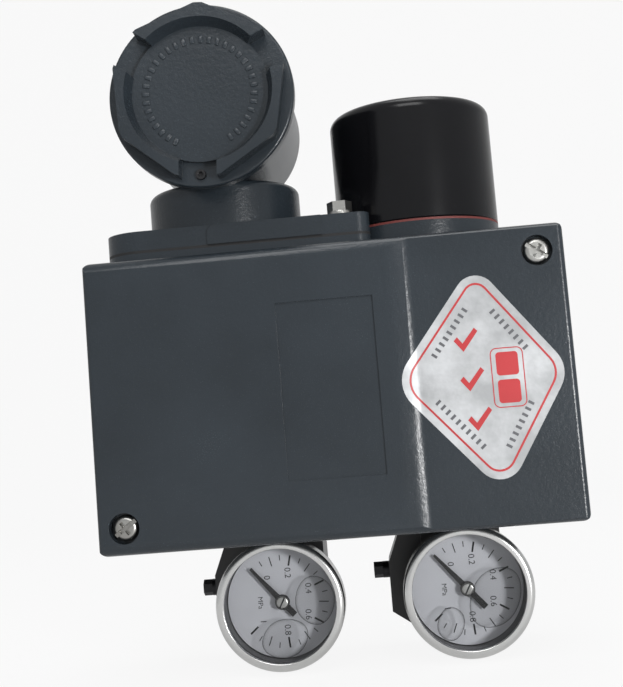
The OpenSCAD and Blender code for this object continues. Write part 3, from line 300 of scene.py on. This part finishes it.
FINISH = {
    "case_paint": PAINT,
    "cap_black": plain_polymer("cap_black", (0.005, 0.005, 0.006), 0.19, 1100, 0.012, 0.28),
    "red_rubber": plain_polymer("red_rubber", (0.17, 0.035, 0.03), 0.6, 700, 0.06),
    "black_rubber": plain_polymer("black_rubber", (0.016, 0.016, 0.017), 0.7, 700, 0.06),
    "nylon": plain_polymer("nylon", (0.62, 0.60, 0.53), 0.5),
    "zinc": ZINC,
    "black_plastic": plain_polymer("black_plastic", (0.016, 0.016, 0.017), 0.45),
    "black_oxide": bright_metal("black_oxide", (0.05, 0.05, 0.052), 0.42),
    "bare_alloy": bright_metal("bare_alloy", (0.72, 0.73, 0.74), 0.40, (1, 1, 9), 350, 0.03),
    "soft_iron": bright_metal("soft_iron", (0.30, 0.30, 0.31), 0.42, (5, 1, 1)),
    "magnet_alloy": bright_metal("magnet_alloy", (0.22, 0.20, 0.19), 0.52, (1, 1, 1), 400, 0.08),
    "winding": wound_wire("winding", (0.50, 0.16, 0.045), 0.45 * MM),
    "steel": STEEL,
    "brass": BRASS,
    "copper": bright_metal("copper", (0.66, 0.30, 0.17), 0.30, (1, 1, 5), 500, 0.02, (0.36, 0.16, 0.10)),
    "gauge_black": plain_polymer("gauge_black", (0.014, 0.014, 0.015), 0.34, 1200, 0.02),
    "stainless": spun_metal("stainless", (0.72, 0.72, 0.71), 0.16),
    "glass": clear_glass("glass"),
    "dial_white": enamel_face("dial_white", (0.63, 0.63, 0.66)),
    "pointer_black": plain_polymer("pointer_black", (0.010, 0.010, 0.011), 0.55, 1500, 0.01, 0.2),
}


# Making pieces

def plain_mesh(obj):
    """The object's evaluated shape as a mesh of its own; the object is removed."""
    graph = bpy.context.evaluated_depsgraph_get()
    mesh = bpy.data.meshes.new_from_object(obj.evaluated_get(graph))
    bpy.data.objects.remove(obj)
    return mesh


def linked(name, data):
    obj = bpy.data.objects.new(name, data)
    bpy.context.scene.collection.objects.link(obj)
    return obj


def settled(name, shape):
    """A bmesh as a mesh of its own; the bmesh is freed."""
    mesh = bpy.data.meshes.new(name)
    shape.to_mesh(mesh)
    shape.free()
    return mesh


def smoothed(shape):
    """The bmesh with all its faces shaded smooth."""
    for face in shape.faces:
        face.smooth = True
    return shape


def piece(name, mesh, body, slot, *finishes, place=None):
    """A finished piece that rides on a body, with its place in its mesh."""
    if place is not None:
        mesh.transform(place)
    mesh.materials.clear()
    for finish in finishes:
        mesh.materials.append(finish)
    obj = linked(name, mesh)
    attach(obj, body)
    return obj


FLAT_ANGLE = math.radians(0.4)
SHARP_ANGLE = math.radians(32)
EDGE_STEPS = 2


def dressed(node, bevel, finish, edge):
    """A copy of a CAD node with soft edges that take their own finish, standing for the node."""
    mesh = frame["nodes"][node].data.copy()
    shape = bmesh.new()
    shape.from_mesh(mesh)
    bmesh.ops.remove_doubles(shape, verts=shape.verts, dist=WELD)
    bmesh.ops.dissolve_limit(shape, angle_limit=FLAT_ANGLE, verts=shape.verts, edges=shape.edges)
    for face in smoothed(shape).faces:
        face.material_index = 0
    shape.to_mesh(mesh)
    shape.free()
    mesh.set_sharp_from_angle(angle=SHARP_ANGLE)
    mesh.materials.clear()
    mesh.materials.append(finish)
    mesh.materials.append(edge)
    obj = linked(node + ".bevelled", mesh)
    soft = obj.modifiers.new("soft_edges", "BEVEL")
    soft.width = bevel
    soft.segments = EDGE_STEPS
    soft.limit_method = "ANGLE"
    soft.angle_limit = SHARP_ANGLE
    soft.material = 1
    even = obj.modifiers.new("even_shading", "WEIGHTED_NORMAL")
    even.keep_sharp = True
    done = piece(node + ".finish", plain_mesh(obj), BODY_OF[node], SLOT_OF[node], finish, edge)
    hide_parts(node)


def facing_front(x, y, z):
    """From a drawing in the XY plane, seen from +Z, to the front of the object at this point."""
    return Matrix.Translation((x, y, z)) @ Matrix.Rotation(math.radians(90), 4, "X")


# Rows of bars

def bar_row_tree():
    """Small bars set out round an arc, along a line, or both; each points along its own radius."""
    tree = bpy.data.node_groups.new("bar_row", "GeometryNodeTree")
    for name, kind in (("Count", "Int"), ("Radius", "Float"), ("Start", "Float"), ("Step", "Float"),
                       ("Stride", "Vector"), ("Bar", "Vector"), ("Finish", "Material")):
        tree.interface.new_socket(name, in_out="INPUT", socket_type="NodeSocket" + kind)
    tree.interface.new_socket("Geometry", in_out="OUTPUT", socket_type="NodeSocketGeometry")

    def add(kind, settings, *links):
        node = tree.nodes.new(kind)
        for key, value in settings.items():
            setattr(node, key, value)
        for socket, source in links:
            tree.links.new(source, node.inputs[socket])
        return node.outputs[0] if len(node.outputs) == 1 else node.outputs

    sizes = add("NodeGroupInput", {})
    index = add("GeometryNodeInputIndex", {})
    turn = add("ShaderNodeMath", {"operation": "MULTIPLY_ADD"},
               (0, index), (1, sizes["Step"]), (2, sizes["Start"]))
    cosine = add("ShaderNodeMath", {"operation": "COSINE"}, (0, turn))
    sine = add("ShaderNodeMath", {"operation": "SINE"}, (0, turn))
    way = add("ShaderNodeCombineXYZ", {}, ("X", cosine), ("Y", sine))
    out = add("ShaderNodeVectorMath", {"operation": "SCALE"}, (0, way), ("Scale", sizes["Radius"]))[0]
    along = add("ShaderNodeVectorMath", {"operation": "SCALE"}, (0, sizes["Stride"]), ("Scale", index))[0]
    spot = add("ShaderNodeVectorMath", {"operation": "ADD"}, (0, out), (1, along))[0]
    tilt = add("ShaderNodeCombineXYZ", {}, ("Z", turn))
    points = add("GeometryNodeMeshLine", {}, ("Count", sizes["Count"]))
    placed = add("GeometryNodeSetPosition", {}, ("Geometry", points), ("Position", spot))
    bar = add("GeometryNodeMeshCube", {}, ("Size", sizes["Bar"]))[0]
    row = add("GeometryNodeInstanceOnPoints", {}, ("Points", placed), ("Instance", bar), ("Rotation", tilt))
    solid = add("GeometryNodeRealizeInstances", {}, ("Geometry", row))
    painted = add("GeometryNodeSetMaterial", {}, ("Geometry", solid), ("Material", sizes["Finish"]))
    add("NodeGroupOutput", {}, ("Geometry", painted))
    return tree


BAR_ROW = bar_row_tree()


def grown(tree, values):
    """The mesh that a tree makes from its named inputs."""
    obj = linked(tree.name, bpy.data.meshes.new(tree.name))
    maker = obj.modifiers.new(tree.name, "NODES")
    maker.node_group = tree
    for item in tree.interface.items_tree:
        if item.in_out == "INPUT":
            maker[item.identifier] = values[item.name]
    return plain_mesh(obj)


def bar_row(count, bar, finish, radius=0.0, start=0.0, step=0.0, stride=(0.0, 0.0, 0.0)):
    """A mesh of bars in the XY plane: sizes in metres, angles in degrees."""
    return grown(BAR_ROW, {"Count": count, "Radius": radius, "Start": math.radians(start),
                           "Step": math.radians(step), "Stride": stride, "Bar": bar, "Finish": finish})


# Nodes carried over from the frame

for node, obj in frame["nodes"].items():
    obj.data.materials.clear()
    obj.data.materials.append(FINISH[SLOT_OF[node]])

# Width of each node's soft edges in millimetres
SOFT_EDGES = {
    "base_housing": 0.5, "front_cover": 0.4, "terminal_housing": 0.6, "terminal_lid": 0.7, "motor_cap": 0.6,
    "supply_manifold": 0.6, "output_manifold": 0.6, "gauge_cases": 0.4, "gauge_bezels": 0.3, "flange_bolts": 0.25,
    "cover_screw_lower": 0.25, "cover_screw_upper": 0.25, "lid_lock_screw": 0.2, "port_plug": 0.25,
    "bleed_plug": 0.25, "terminal_block": 0.3, "relay_body": 0.4, "relay_cover": 0.3, "zero_knob": 0.25,
    "motor_base": 0.4,
}
for node, width in SOFT_EDGES.items():
    main = FINISH[SLOT_OF[node]]
    # Painted nodes get the paler edge paint on their bevels: a painted highlight along the edges, with chips of
    # wear.
    dressed(node, width * MM, main, PAINT_EDGE_WEAR_AND_HIGHLIGHT if main == PAINT else main)


# Springs

WIRE_SHARP = math.radians(50)
SLIDER_END, SLIDER_CUT, COILS_END = -9.5 * MM, -5 * MM, 18 * MM
ARMATURE_CUT, ARMATURE_END = 30 * MM, 35 * MM


def spring_part(name, node, low, high):
    """The part of a spring from low to high in X, as a mesh of its own."""
    shape = bmesh.new()
    shape.from_mesh(frame["nodes"][node].data)
    bmesh.ops.remove_doubles(shape, verts=shape.verts, dist=WELD)
    for at, way in ((low, -1), (high, 1)):
        whole = shape.verts[:] + shape.edges[:] + shape.faces[:]
        bmesh.ops.bisect_plane(shape, geom=whole, plane_co=(at, 0, 0), plane_no=(way, 0, 0), clear_outer=True)
    bmesh.ops.holes_fill(shape, edges=[edge for edge in shape.edges if edge.is_boundary])
    mesh = settled(name, smoothed(shape))
    mesh.set_sharp_from_angle(angle=WIRE_SHARP)
    mesh.materials.append(FINISH[SLOT_OF[node]])
    obj = linked(name, mesh)
    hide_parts(node)
    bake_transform(obj)


feedback_box, zero_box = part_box("feedback_spring"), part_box("zero_spring")
spring_part("feedback_spring_slider_eye", "feedback_spring",
            feedback_box[0][0] - MM, SLIDER_CUT)
spring_part("feedback_spring_coils", "feedback_spring",
            SLIDER_CUT, ARMATURE_CUT)
spring_part("feedback_spring_armature_eye", "feedback_spring",
            ARMATURE_CUT, feedback_box[1][0] + MM)
spring_part("zero_spring_coils", "zero_spring",
            zero_box[0][0] - MM, zero_box[1][0] + MM)


# Threads in the ports

THREAD_PITCH = 1.4 * MM
THREAD_SIDES = 36
THREADED = {"supply_port": "supply_manifold", "output_port": "output_manifold", "cable_entry": "terminal_housing"}


def thread_tree():
    """A thread's ridge: a spiral up the wall of a hole, swept with a small diamond."""
    tree = bpy.data.node_groups.new("thread_ridge", "GeometryNodeTree")
    for name, kind in (("Radius", "Float"), ("Turns", "Float"), ("Height", "Float"), ("Ridge", "Float"),
                       ("Finish", "Material")):
        tree.interface.new_socket(name, in_out="INPUT", socket_type="NodeSocket" + kind)
    tree.interface.new_socket("Geometry", in_out="OUTPUT", socket_type="NodeSocketGeometry")
    kinds = ("NodeGroupInput", "GeometryNodeCurveSpiral", "GeometryNodeCurvePrimitiveCircle",
             "GeometryNodeCurveToMesh", "GeometryNodeRealizeInstances", "GeometryNodeSetMaterial",
             "NodeGroupOutput")
    sizes, spiral, diamond, swept, solid, painted, end = (tree.nodes.new(kind) for kind in kinds)
    spiral.inputs["Resolution"].default_value = THREAD_SIDES
    diamond.inputs["Resolution"].default_value = 4
    swept.inputs["Fill Caps"].default_value = True
    for source, target in ((sizes.outputs["Radius"], spiral.inputs["Start Radius"]),
                           (sizes.outputs["Radius"], spiral.inputs["End Radius"]),
                           (sizes.outputs["Turns"], spiral.inputs["Rotations"]),
                           (sizes.outputs["Height"], spiral.inputs["Height"]),
                           (sizes.outputs["Ridge"], diamond.inputs["Radius"]),
                           (spiral.outputs[0], swept.inputs["Curve"]),
                           (diamond.outputs[0], swept.inputs["Profile Curve"]),
                           (swept.outputs[0], solid.inputs["Geometry"]),
                           (solid.outputs[0], painted.inputs["Geometry"]),
                           (sizes.outputs["Finish"], painted.inputs["Material"]),
                           (painted.outputs[0], end.inputs["Geometry"])):
        tree.links.new(source, target)
    return tree


THREAD = thread_tree()
for mount in record["mounts"]:
    if mount["kind"] == "threaded_hole":
        node = THREADED[mount["name"]]
        finish = FINISH[SLOT_OF[node]]
        height = mount["dims"]["length_mm"] * MM - 2 * THREAD_PITCH
        sizes = {"Radius": mount["dims"]["r_mm"] * MM, "Turns": height / THREAD_PITCH, "Height": height,
                 "Ridge": THREAD_PITCH / 2, "Finish": finish}
        inward = -Vector(mount["axis"])
        mouth = Vector(mount["pos_m"]) + inward * THREAD_PITCH
        place = Matrix.Translation(mouth) @ inward.to_track_quat("Z", "Y").to_matrix().to_4x4()
        piece(mount["name"] + "_thread", grown(THREAD, sizes), BODY_OF[node], SLOT_OF[node], finish, place=place)


# Gauge faces

DIAL_ZERO, DIAL_SWEEP = 131.0, 270.0
DIAL_UP = -90.0
DIAL_STEPS = 20
DIAL_FIGURES = ("0", "0.2", "0.4", "0.6", "0.8", "1")
TICK_END = 16.8 * MM
FINE_TICK = (2.0 * MM, 0.32 * MM)
MIDDLE_TICK = (3.5 * MM, 0.36 * MM)
MAIN_TICK = (3.8 * MM, 0.66 * MM)
STEPS_PER_FIGURE = 4
FIGURE_R = 10.4 * MM
FIGURE_SIZE, UNIT_SIZE = 3.2 * MM, 2.6 * MM
ZERO_ASIDE = 10.0
UNIT_AT = (-8.4 * MM, 0.0)
PRINT = 0.04 * MM
HUB_PROFILE = [(r * MM, z * MM) for r, z in ((0, 0.5), (1.6, 0.5), (2.1, 0.4), (2.35, 0.15), (2.4, 0))]
# A thin black bar lying on the hub cap: painted shade standing for a screwdriver slot.
HUB_SLOT_SHADE = (3.9 * MM, 0.55 * MM, 0.06 * MM)
HUB_SLOT_LIFT = 0.51 * MM
HUB_SLOT_TURN = DIAL_ZERO - 70
LATHE_SIDES = 40
LATHE_SHARP = math.radians(40)
BUBBLE_T = 2.2 * MM
BUBBLE_CLEAR = 0.6 * MM
BUBBLE_FLATNESS = 6
BUBBLE_SWELL = 0.06
BUBBLE_SIDES = 48
# Gauge, name, place from the pivot, half widths across and along in millimetres, turn in degrees
BUBBLES = (
    ("supply", "right", (12.2, 0.4), 7.2, 8.8, 80),
    ("supply", "low", (0.4, -12.4), 6.9, 8.4, 10),
    ("output", "low", (-7.2, -11.4), 4.8, 6.2, 70),
    ("output", "right", (9.4, -3.2), 8.6, 11.4, 62),
)


def lettering(text, size, at, turn):
    """Flat printed figures in the XY plane, centred on a point."""
    curve = bpy.data.curves.new("figures", "FONT")
    curve.body = text
    curve.size = size
    curve.align_x = "CENTER"
    curve.align_y = "CENTER"
    curve.extrude = PRINT / 2
    mesh = plain_mesh(linked("figures", curve))
    mesh.transform(Matrix.Translation((*at, 0)) @ Matrix.Rotation(math.radians(turn), 4, "Z"))
    return mesh


def joined(name, meshes):
    """Several meshes as one."""
    shape = bmesh.new()
    for mesh in meshes:
        shape.from_mesh(mesh)
        bpy.data.meshes.remove(mesh)
    return settled(name, shape)


def ticks(count, length, width, step):
    """Scale lines round a dial, all ending on one circle."""
    return bar_row(count, (length, width, PRINT), INK_AND_SLOT_SHADE, TICK_END - length / 2, DIAL_ZERO, -step)


def dial_print(name, centre, face_y):
    """Scale lines, figures and unit on one gauge face."""
    step = DIAL_SWEEP / DIAL_STEPS
    marks = [
        ticks(DIAL_STEPS + 1, *FINE_TICK, step),
        ticks(DIAL_STEPS // 2 + 1, *MIDDLE_TICK, 2 * step),
        ticks(len(DIAL_FIGURES), *MAIN_TICK, STEPS_PER_FIGURE * step),
        lettering("MPa", UNIT_SIZE, UNIT_AT, DIAL_UP),
    ]
    for count, figure in enumerate(DIAL_FIGURES):
        angle = math.radians(DIAL_ZERO - STEPS_PER_FIGURE * step * count - (0 if count else ZERO_ASIDE))
        at = (FIGURE_R * math.cos(angle), FIGURE_R * math.sin(angle))
        marks.append(lettering(figure, FIGURE_SIZE, at, DIAL_UP))
    place = facing_front(centre.x, face_y - PRINT, centre.z)
    piece(name, joined(name, marks), BODY_OF["gauge_dials"], "pointer_black", INK_AND_SLOT_SHADE, place=place)


def lathed(profile):
    """A shape turned round Z from its profile of radius and height, from the axis outwards."""
    shape = bmesh.new()
    ways = [2 * math.pi * k / LATHE_SIDES for k in range(LATHE_SIDES)]
    rings = [[shape.verts.new((r * math.cos(a), r * math.sin(a), z)) for a in ways] for r, z in profile[1:]]
    tip = shape.verts.new((0, 0, profile[0][1]))
    for k in range(LATHE_SIDES):
        shape.faces.new((tip, rings[0][k - 1], rings[0][k]))
        for inner, outer in zip(rings, rings[1:]):
            shape.faces.new((inner[k - 1], outer[k - 1], outer[k], inner[k]))
    shape.faces.new(list(reversed(rings[-1])))
    bmesh.ops.recalc_face_normals(shape, faces=shape.faces)
    mesh = settled("lathed", smoothed(shape))
    mesh.set_sharp_from_angle(angle=LATHE_SHARP)
    return mesh


def hub_cap(side, centre):
    """The plated cap over a pointer's hub, with a flat black bar across it as the painted shade of a screwdriver
    slot.
    """
    pointer = side + "_pointer"
    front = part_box(pointer)[0][1]
    piece(side + "_hub_cap", lathed(HUB_PROFILE), BODY_OF[pointer], "zinc", ZINC,
          place=facing_front(centre.x, front, centre.z))
    # No recess is cut: the black bar is the slot's painted shade.
    slot = bar_row(1, HUB_SLOT_SHADE, INK_AND_SLOT_SHADE, start=HUB_SLOT_TURN)
    piece(side + "_hub_slot", slot, BODY_OF[pointer], "pointer_black", INK_AND_SLOT_SHADE,
          place=facing_front(centre.x, front - HUB_SLOT_LIFT, centre.z))


def unit_ball(sides):
    """A ball of radius 1 from its rings; Blender's own sphere has its points in another order each run."""
    shape = bmesh.new()
    ways = [2 * math.pi * k / sides for k in range(sides)]
    slopes = [2 * math.pi * k / sides for k in range(1, sides // 2)]
    rings = [[shape.verts.new((math.sin(s) * math.cos(a), math.sin(s) * math.sin(a), math.cos(s)))
              for a in ways] for s in slopes]
    top, bottom = shape.verts.new((0, 0, 1)), shape.verts.new((0, 0, -1))
    for k in range(sides):
        shape.faces.new((top, rings[0][k - 1], rings[0][k]))
        for upper, lower in zip(rings, rings[1:]):
            shape.faces.new((upper[k - 1], lower[k - 1], lower[k], upper[k]))
        shape.faces.new((bottom, rings[-1][k], rings[-1][k - 1]))
    return shape


def bubble(name, centre, at, across, along, turn):
    """An air bubble in a gauge's liquid filling, pressed flat behind the window; sizes in millimetres."""
    shape = unit_ball(BUBBLE_SIDES)
    for vert in shape.verts:
        flat = math.sqrt(max(0.0, 1 - vert.co.xy.length ** BUBBLE_FLATNESS))
        swell = 1 + BUBBLE_SWELL * math.sin(2 * math.atan2(vert.co.y, vert.co.x) + at[0])
        depth = math.copysign(flat * BUBBLE_T / 2, vert.co.z)
        vert.co = Vector((vert.co.x * along * MM * swell, vert.co.y * across * MM, depth))
    mesh = settled(name, smoothed(shape))
    middle = (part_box("gauge_windows")[1][1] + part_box("supply_pointer")[0][1] - BUBBLE_CLEAR) / 2
    spot = facing_front(centre.x + at[0] * MM, middle, centre.z + at[1] * MM)
    place = spot @ Matrix.Rotation(math.radians(turn), 4, "Z")
    piece(name, mesh, BODY_OF["gauge_windows"], "glass", BUBBLE, place=place)


dial_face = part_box("gauge_dials")[0][1]
for side in ("supply", "output"):
    dial_print(side + "_dial_print", PIVOT[side + "_reading"], dial_face)
    hub_cap(side, PIVOT[side + "_reading"])

for side, spot, *sizes in BUBBLES:
    bubble(f"{side}_bubble_{spot}", PIVOT[side + "_reading"], *sizes)


# Lid pips

AHEAD_Y = -0.3
LID = PIVOT["lid_turn"]
PIP = (2.6 * MM, 1.5 * MM, 0.7 * MM)
PIP_R = 19.5 * MM
PIP_COUNT = 34
PIP_START, PIP_SWEEP = -60, 300
PIP_ROUND = 0.25 * MM
PIP_LIFT = 0.15 * MM


def seat(node):
    """The node's surface, for finding what lies in front of a point."""
    data = frame["nodes"][node].data
    return BVHTree.FromPolygons([v.co for v in data.vertices], [p.vertices for p in data.polygons])


def front_of(surface, x, z):
    """How far forward a surface stands at this point."""
    return surface.ray_cast(Vector((x, AHEAD_Y, z)), Vector((0, 1, 0)))[0].y


def softened(mesh, width):
    """Rounds every edge of a mesh of small bars."""
    shape = bmesh.new()
    shape.from_mesh(mesh)
    bmesh.ops.bevel(shape, geom=shape.edges[:], offset=width, segments=EDGE_STEPS, affect="EDGES", profile=0.5)
    smoothed(shape).to_mesh(mesh)
    shape.free()
    return mesh


# The pips take the paler edge paint: a painted highlight on raised marks, with chips of wear.
pips = bar_row(PIP_COUNT, PIP, PAINT_EDGE_WEAR_AND_HIGHLIGHT, PIP_R, PIP_START, PIP_SWEEP / (PIP_COUNT - 1))
lid_floor = front_of(seat("terminal_lid"), LID.x + PIP_R, LID.z)
piece("lid_pips", softened(pips, PIP_ROUND), BODY_OF["terminal_lid"], "case_paint", PAINT_EDGE_WEAR_AND_HIGHLIGHT,
      place=facing_front(LID.x, lid_floor - PIP_LIFT, LID.z))


# Front decal

COVER_FACE = seat("front_cover")
ARC_STEPS = 10
DECAL = [Vector(p) * MM for p in ((51.0, 38.5), (20.7, -0.3), (55.0, -39.6), (80.0, 0.7))]
DECAL_ROUND = [r * MM for r in (7, 11, 8, 10)]
CREASE_CUTS = [x * MM for x in range(20, 33)]
CUT_GAP = 1e-7
FILM_LIFT = 0.08 * MM
INK_LIFT = 0.11 * MM
BORDER_IN = (2.5 * MM, 3.2 * MM)
DASH = (0.9 * MM, 2.1 * MM, 0.03 * MM)
DASH_STEP = 2.3 * MM
DASH_FROM = 15 * MM
DASH_IN = 6.4 * MM
TICK = ((-3.9, 0.2), (-2.7, 1.5), (-1.0, -0.8), (3.2, 4.2), (4.3, 3.0), (-0.9, -3.6))
TICKS_AT = ((46.2, 12.4), (47.2, -0.9), (48.6, -14.2))
STAMP_AT = (59.3, -0.8)
STAMP_SIZE = (11, 20)
STAMP_ROUND = [2.2 * MM] * 4
STAMP_LINE = 0.35 * MM
FILL_SIZE = (7.4, 7.8)
FILL_ASIDE = 4.6
FILL_ROUND = [1.2 * MM] * 4


def rounded(corners, inset, radii):
    """The outline of a convex polygon, drawn in by inset, with round corners; counterclockwise."""
    outline = []
    count = len(corners)
    for i, (corner, full) in enumerate(zip(corners, radii)):
        radius = full - inset
        before = (corner - corners[i - 1]).normalized()
        after = (corners[(i + 1) % count] - corner).normalized()
        normals = [Vector((-way.y, way.x)) for way in (before, after)]
        bisector = (normals[0] + normals[1]).normalized()
        centre = corner + bisector * full / bisector.dot(normals[0])
        start = math.atan2(-normals[0].y, -normals[0].x)
        turn = -normals[0].angle_signed(normals[1])
        for k in range(ARC_STEPS + 1):
            angle = start + turn * k / ARC_STEPS
            outline.append(centre + radius * Vector((math.cos(angle), math.sin(angle))))
    return outline


def on_cover(name, loops, lift, finish):
    """A printed film on the cover's face: filled loops, or a band between two matching ones."""
    shape = bmesh.new()
    for loop in loops:
        if isinstance(loop, tuple):
            outer, inner = ([shape.verts.new((p.x, 0, p.y)) for p in ring] for ring in loop)
            for i in range(len(outer)):
                shape.faces.new((outer[i - 1], outer[i], inner[i], inner[i - 1]))
        else:
            shape.faces.new([shape.verts.new((p.x, 0, p.y)) for p in loop])
    for cut in CREASE_CUTS:
        whole = shape.verts[:] + shape.edges[:] + shape.faces[:]
        bmesh.ops.bisect_plane(shape, geom=whole, plane_co=(cut, 0, 0), plane_no=(1, 0, 0), dist=CUT_GAP)
    for vert in shape.verts:
        vert.co.y = front_of(COVER_FACE, vert.co.x, vert.co.z) - lift
    bmesh.ops.recalc_face_normals(shape, faces=shape.faces)
    for face in smoothed(shape).faces:
        if face.normal.y > 0:
            face.normal_flip()
    piece(name, settled(name, shape), BODY_OF["front_cover"], "case_paint", finish)


def edge_dashes(start, end):
    """A row of short plain dashes printed inside one side of the decal, across it."""
    way = (end - start).normalized()
    inward = Vector((-way.y, way.x))
    first = start + way * DASH_FROM + inward * DASH_IN
    count = int(((end - start).length - 2 * DASH_FROM) / DASH_STEP) + 1
    stride = way * DASH_STEP
    turn = math.degrees(math.atan2(way.y, way.x))
    mesh = bar_row(count, DASH, GREY_INK, start=turn, stride=(stride.x, stride.y, 0.0))
    mesh.transform(facing_front(first.x, 0, first.y))
    for vert in mesh.vertices:
        vert.co.y += front_of(COVER_FACE, vert.co.x, vert.co.z) - INK_LIFT
    return mesh


def drawn(points, at):
    """An outline in millimetres, set down round a point on the decal."""
    return [(Vector(p) + Vector(at)) * MM for p in points]


def box_outline(width, height, at):
    """A box round a point on the decal, millimetres, counterclockwise from its lower left corner."""
    x, z = width / 2, height / 2
    return drawn(((-x, -z), (x, -z), (x, z), (-x, z)), at)


on_cover("decal_film", [rounded(DECAL, 0, DECAL_ROUND)], FILM_LIFT, FOIL)
border = tuple(rounded(DECAL, inset, DECAL_ROUND) for inset in BORDER_IN)
stamp = tuple(rounded(box_outline(*STAMP_SIZE, STAMP_AT), inset, STAMP_ROUND) for inset in (0, STAMP_LINE))
fills = [rounded(box_outline(*FILL_SIZE, (STAMP_AT[0], STAMP_AT[1] + dz)), 0, FILL_ROUND)
         for dz in (-FILL_ASIDE, FILL_ASIDE)]
on_cover("decal_red_print", [border, stamp, *fills, *(drawn(TICK, at) for at in TICKS_AT)], INK_LIFT, RED_INK)
dashes = joined("decal_dashes", [edge_dashes(DECAL[i - 1], DECAL[i]) for i in range(len(DECAL))])
piece("decal_dashes", dashes, BODY_OF["front_cover"], "case_paint", GREY_INK)


# Studio

MIRRORED = 0.4
FLOOR_GLOW = 0.9
AIR_WHITE, AIR_LIGHT = 0.95, 0.30
AIR_TONE = (0.97, 0.985, 1.0, 1.0)
FLOOR_TONE = (0.82, 0.82, 0.82, 1.0)
FLOOR_GAP = 2 * MM
SWEEP_FRONT, SWEEP_BACK = -2.4, 1.2
SWEEP_BEND = 0.4
SWEEP_STEPS = 12
SWEEP_HALF, SWEEP_HEIGHT = 2.2, 2.2
# Name, place, point it is turned to, width and height in metres, watts
LAMPS = (
    ("glint_right", (0.44, -0.74, -0.01), (0.04, -0.09, 0.0), 0.10, 0.14, 3.4),
    ("high_front", (0.05, -1.0, 0.85), (0.0, -0.05, 0.0), 0.7, 0.5, 4.9),
    ("top", (0.15, 0.05, 1.1), (0.0, -0.03, 0.0), 0.6, 0.6, 3.0),
)


def seen_share(f):
    """1 for what the camera or a window sees, and MIRRORED in reflections."""
    rays = ("Is Camera Ray", "Is Transmission Ray", "Is Glossy Ray")
    seen, through, mirrored = (f.add("ShaderNodeLightPath", out=ray) for ray in rays)
    return (seen + through + mirrored * MIRRORED).clipped()


def studio_white(name):
    """White to the eye and dimmer in reflections, with a trace of the object's shadow."""
    f = Finish(name)
    matt = f.add("ShaderNodeBsdfDiffuse", None, {"Color": FLOOR_TONE})
    glow = f.add("ShaderNodeEmission", None, {"Color": (1.0, 1.0, 1.0, 1.0), "Strength": 1.0})
    return f.output(f.add("ShaderNodeMixShader", None, {0: seen_share(f) * FLOOR_GLOW, 1: matt, 2: glow}))


def studio_air(name):
    """The world: white to the eye, and an even soft light on the object."""
    f = Finish(name, bpy.data.worlds, "ShaderNodeOutputWorld")
    strength = AIR_LIGHT + seen_share(f) * (AIR_WHITE - AIR_LIGHT)
    return f.output(f.add("ShaderNodeBackground", None, {"Color": AIR_TONE, "Strength": strength}))


def sweep(floor_z):
    """A floor that curves up into a backdrop."""
    bend_y, bend_z = SWEEP_BACK - SWEEP_BEND, floor_z + SWEEP_BEND
    profile = [(SWEEP_FRONT, floor_z), (bend_y, floor_z)]
    for k in range(1, SWEEP_STEPS + 1):
        angle = math.radians(90 * k / SWEEP_STEPS)
        profile.append((bend_y + SWEEP_BEND * math.sin(angle), bend_z - SWEEP_BEND * math.cos(angle)))
    profile.append((SWEEP_BACK, floor_z + SWEEP_HEIGHT))
    shape = bmesh.new()
    left, right = ([shape.verts.new((x, y, z)) for y, z in profile] for x in (-SWEEP_HALF, SWEEP_HALF))
    for i in range(1, len(profile)):
        shape.faces.new((left[i - 1], right[i - 1], right[i], left[i]))
    mesh = settled("studio_sweep", smoothed(shape))
    mesh.materials.append(studio_white("studio_white"))
    linked("studio_sweep", mesh)


def softbox(name, place, aim, width, height, power):
    """A white lamp of this size, turned to a point."""
    lamp = bpy.data.lights.new(name, "AREA")
    lamp.shape = "RECTANGLE"
    lamp.size, lamp.size_y = width, height
    lamp.energy = power
    obj = linked(name, lamp)
    way = Vector(aim) - Vector(place)
    obj.matrix_world = Matrix.Translation(place) @ way.to_track_quat("-Z", "Y").to_matrix().to_4x4()


sweep(cad_box[0][2] - FLOOR_GAP)
for lamp in LAMPS:
    softbox(*lamp)
bpy.context.scene.world = studio_air("studio_air")


# Camera

SENSOR = 36


def photo_camera(place, yaw, pitch, roll, lens, shift_y):
    """The photograph's view, angles in degrees."""
    yaw, pitch, roll = (math.radians(a) for a in (yaw, pitch, roll))
    ahead = Vector((-math.sin(yaw) * math.cos(pitch), math.cos(yaw) * math.cos(pitch), math.sin(pitch)))
    level = Vector((math.cos(yaw), math.sin(yaw), 0))
    upright = level.cross(ahead)
    right = math.cos(roll) * level + math.sin(roll) * upright
    up = math.cos(roll) * upright - math.sin(roll) * level
    data = bpy.data.cameras.new("photo_camera")
    data.sensor_fit = "VERTICAL"
    data.sensor_height = SENSOR
    data.lens = lens
    data.shift_y = shift_y
    obj = linked("photo_camera", data)
    obj.matrix_world = Matrix.Translation(place) @ Matrix((right, up, -ahead)).transposed().to_4x4()
    bpy.context.scene.camera = obj


photo_camera((0.01964, -0.49663, -0.01301), yaw=3.398, pitch=5.735, roll=-4.635, lens=62.88, shift_y=-0.05)
bpy.context.scene.view_settings.view_transform = "Standard"
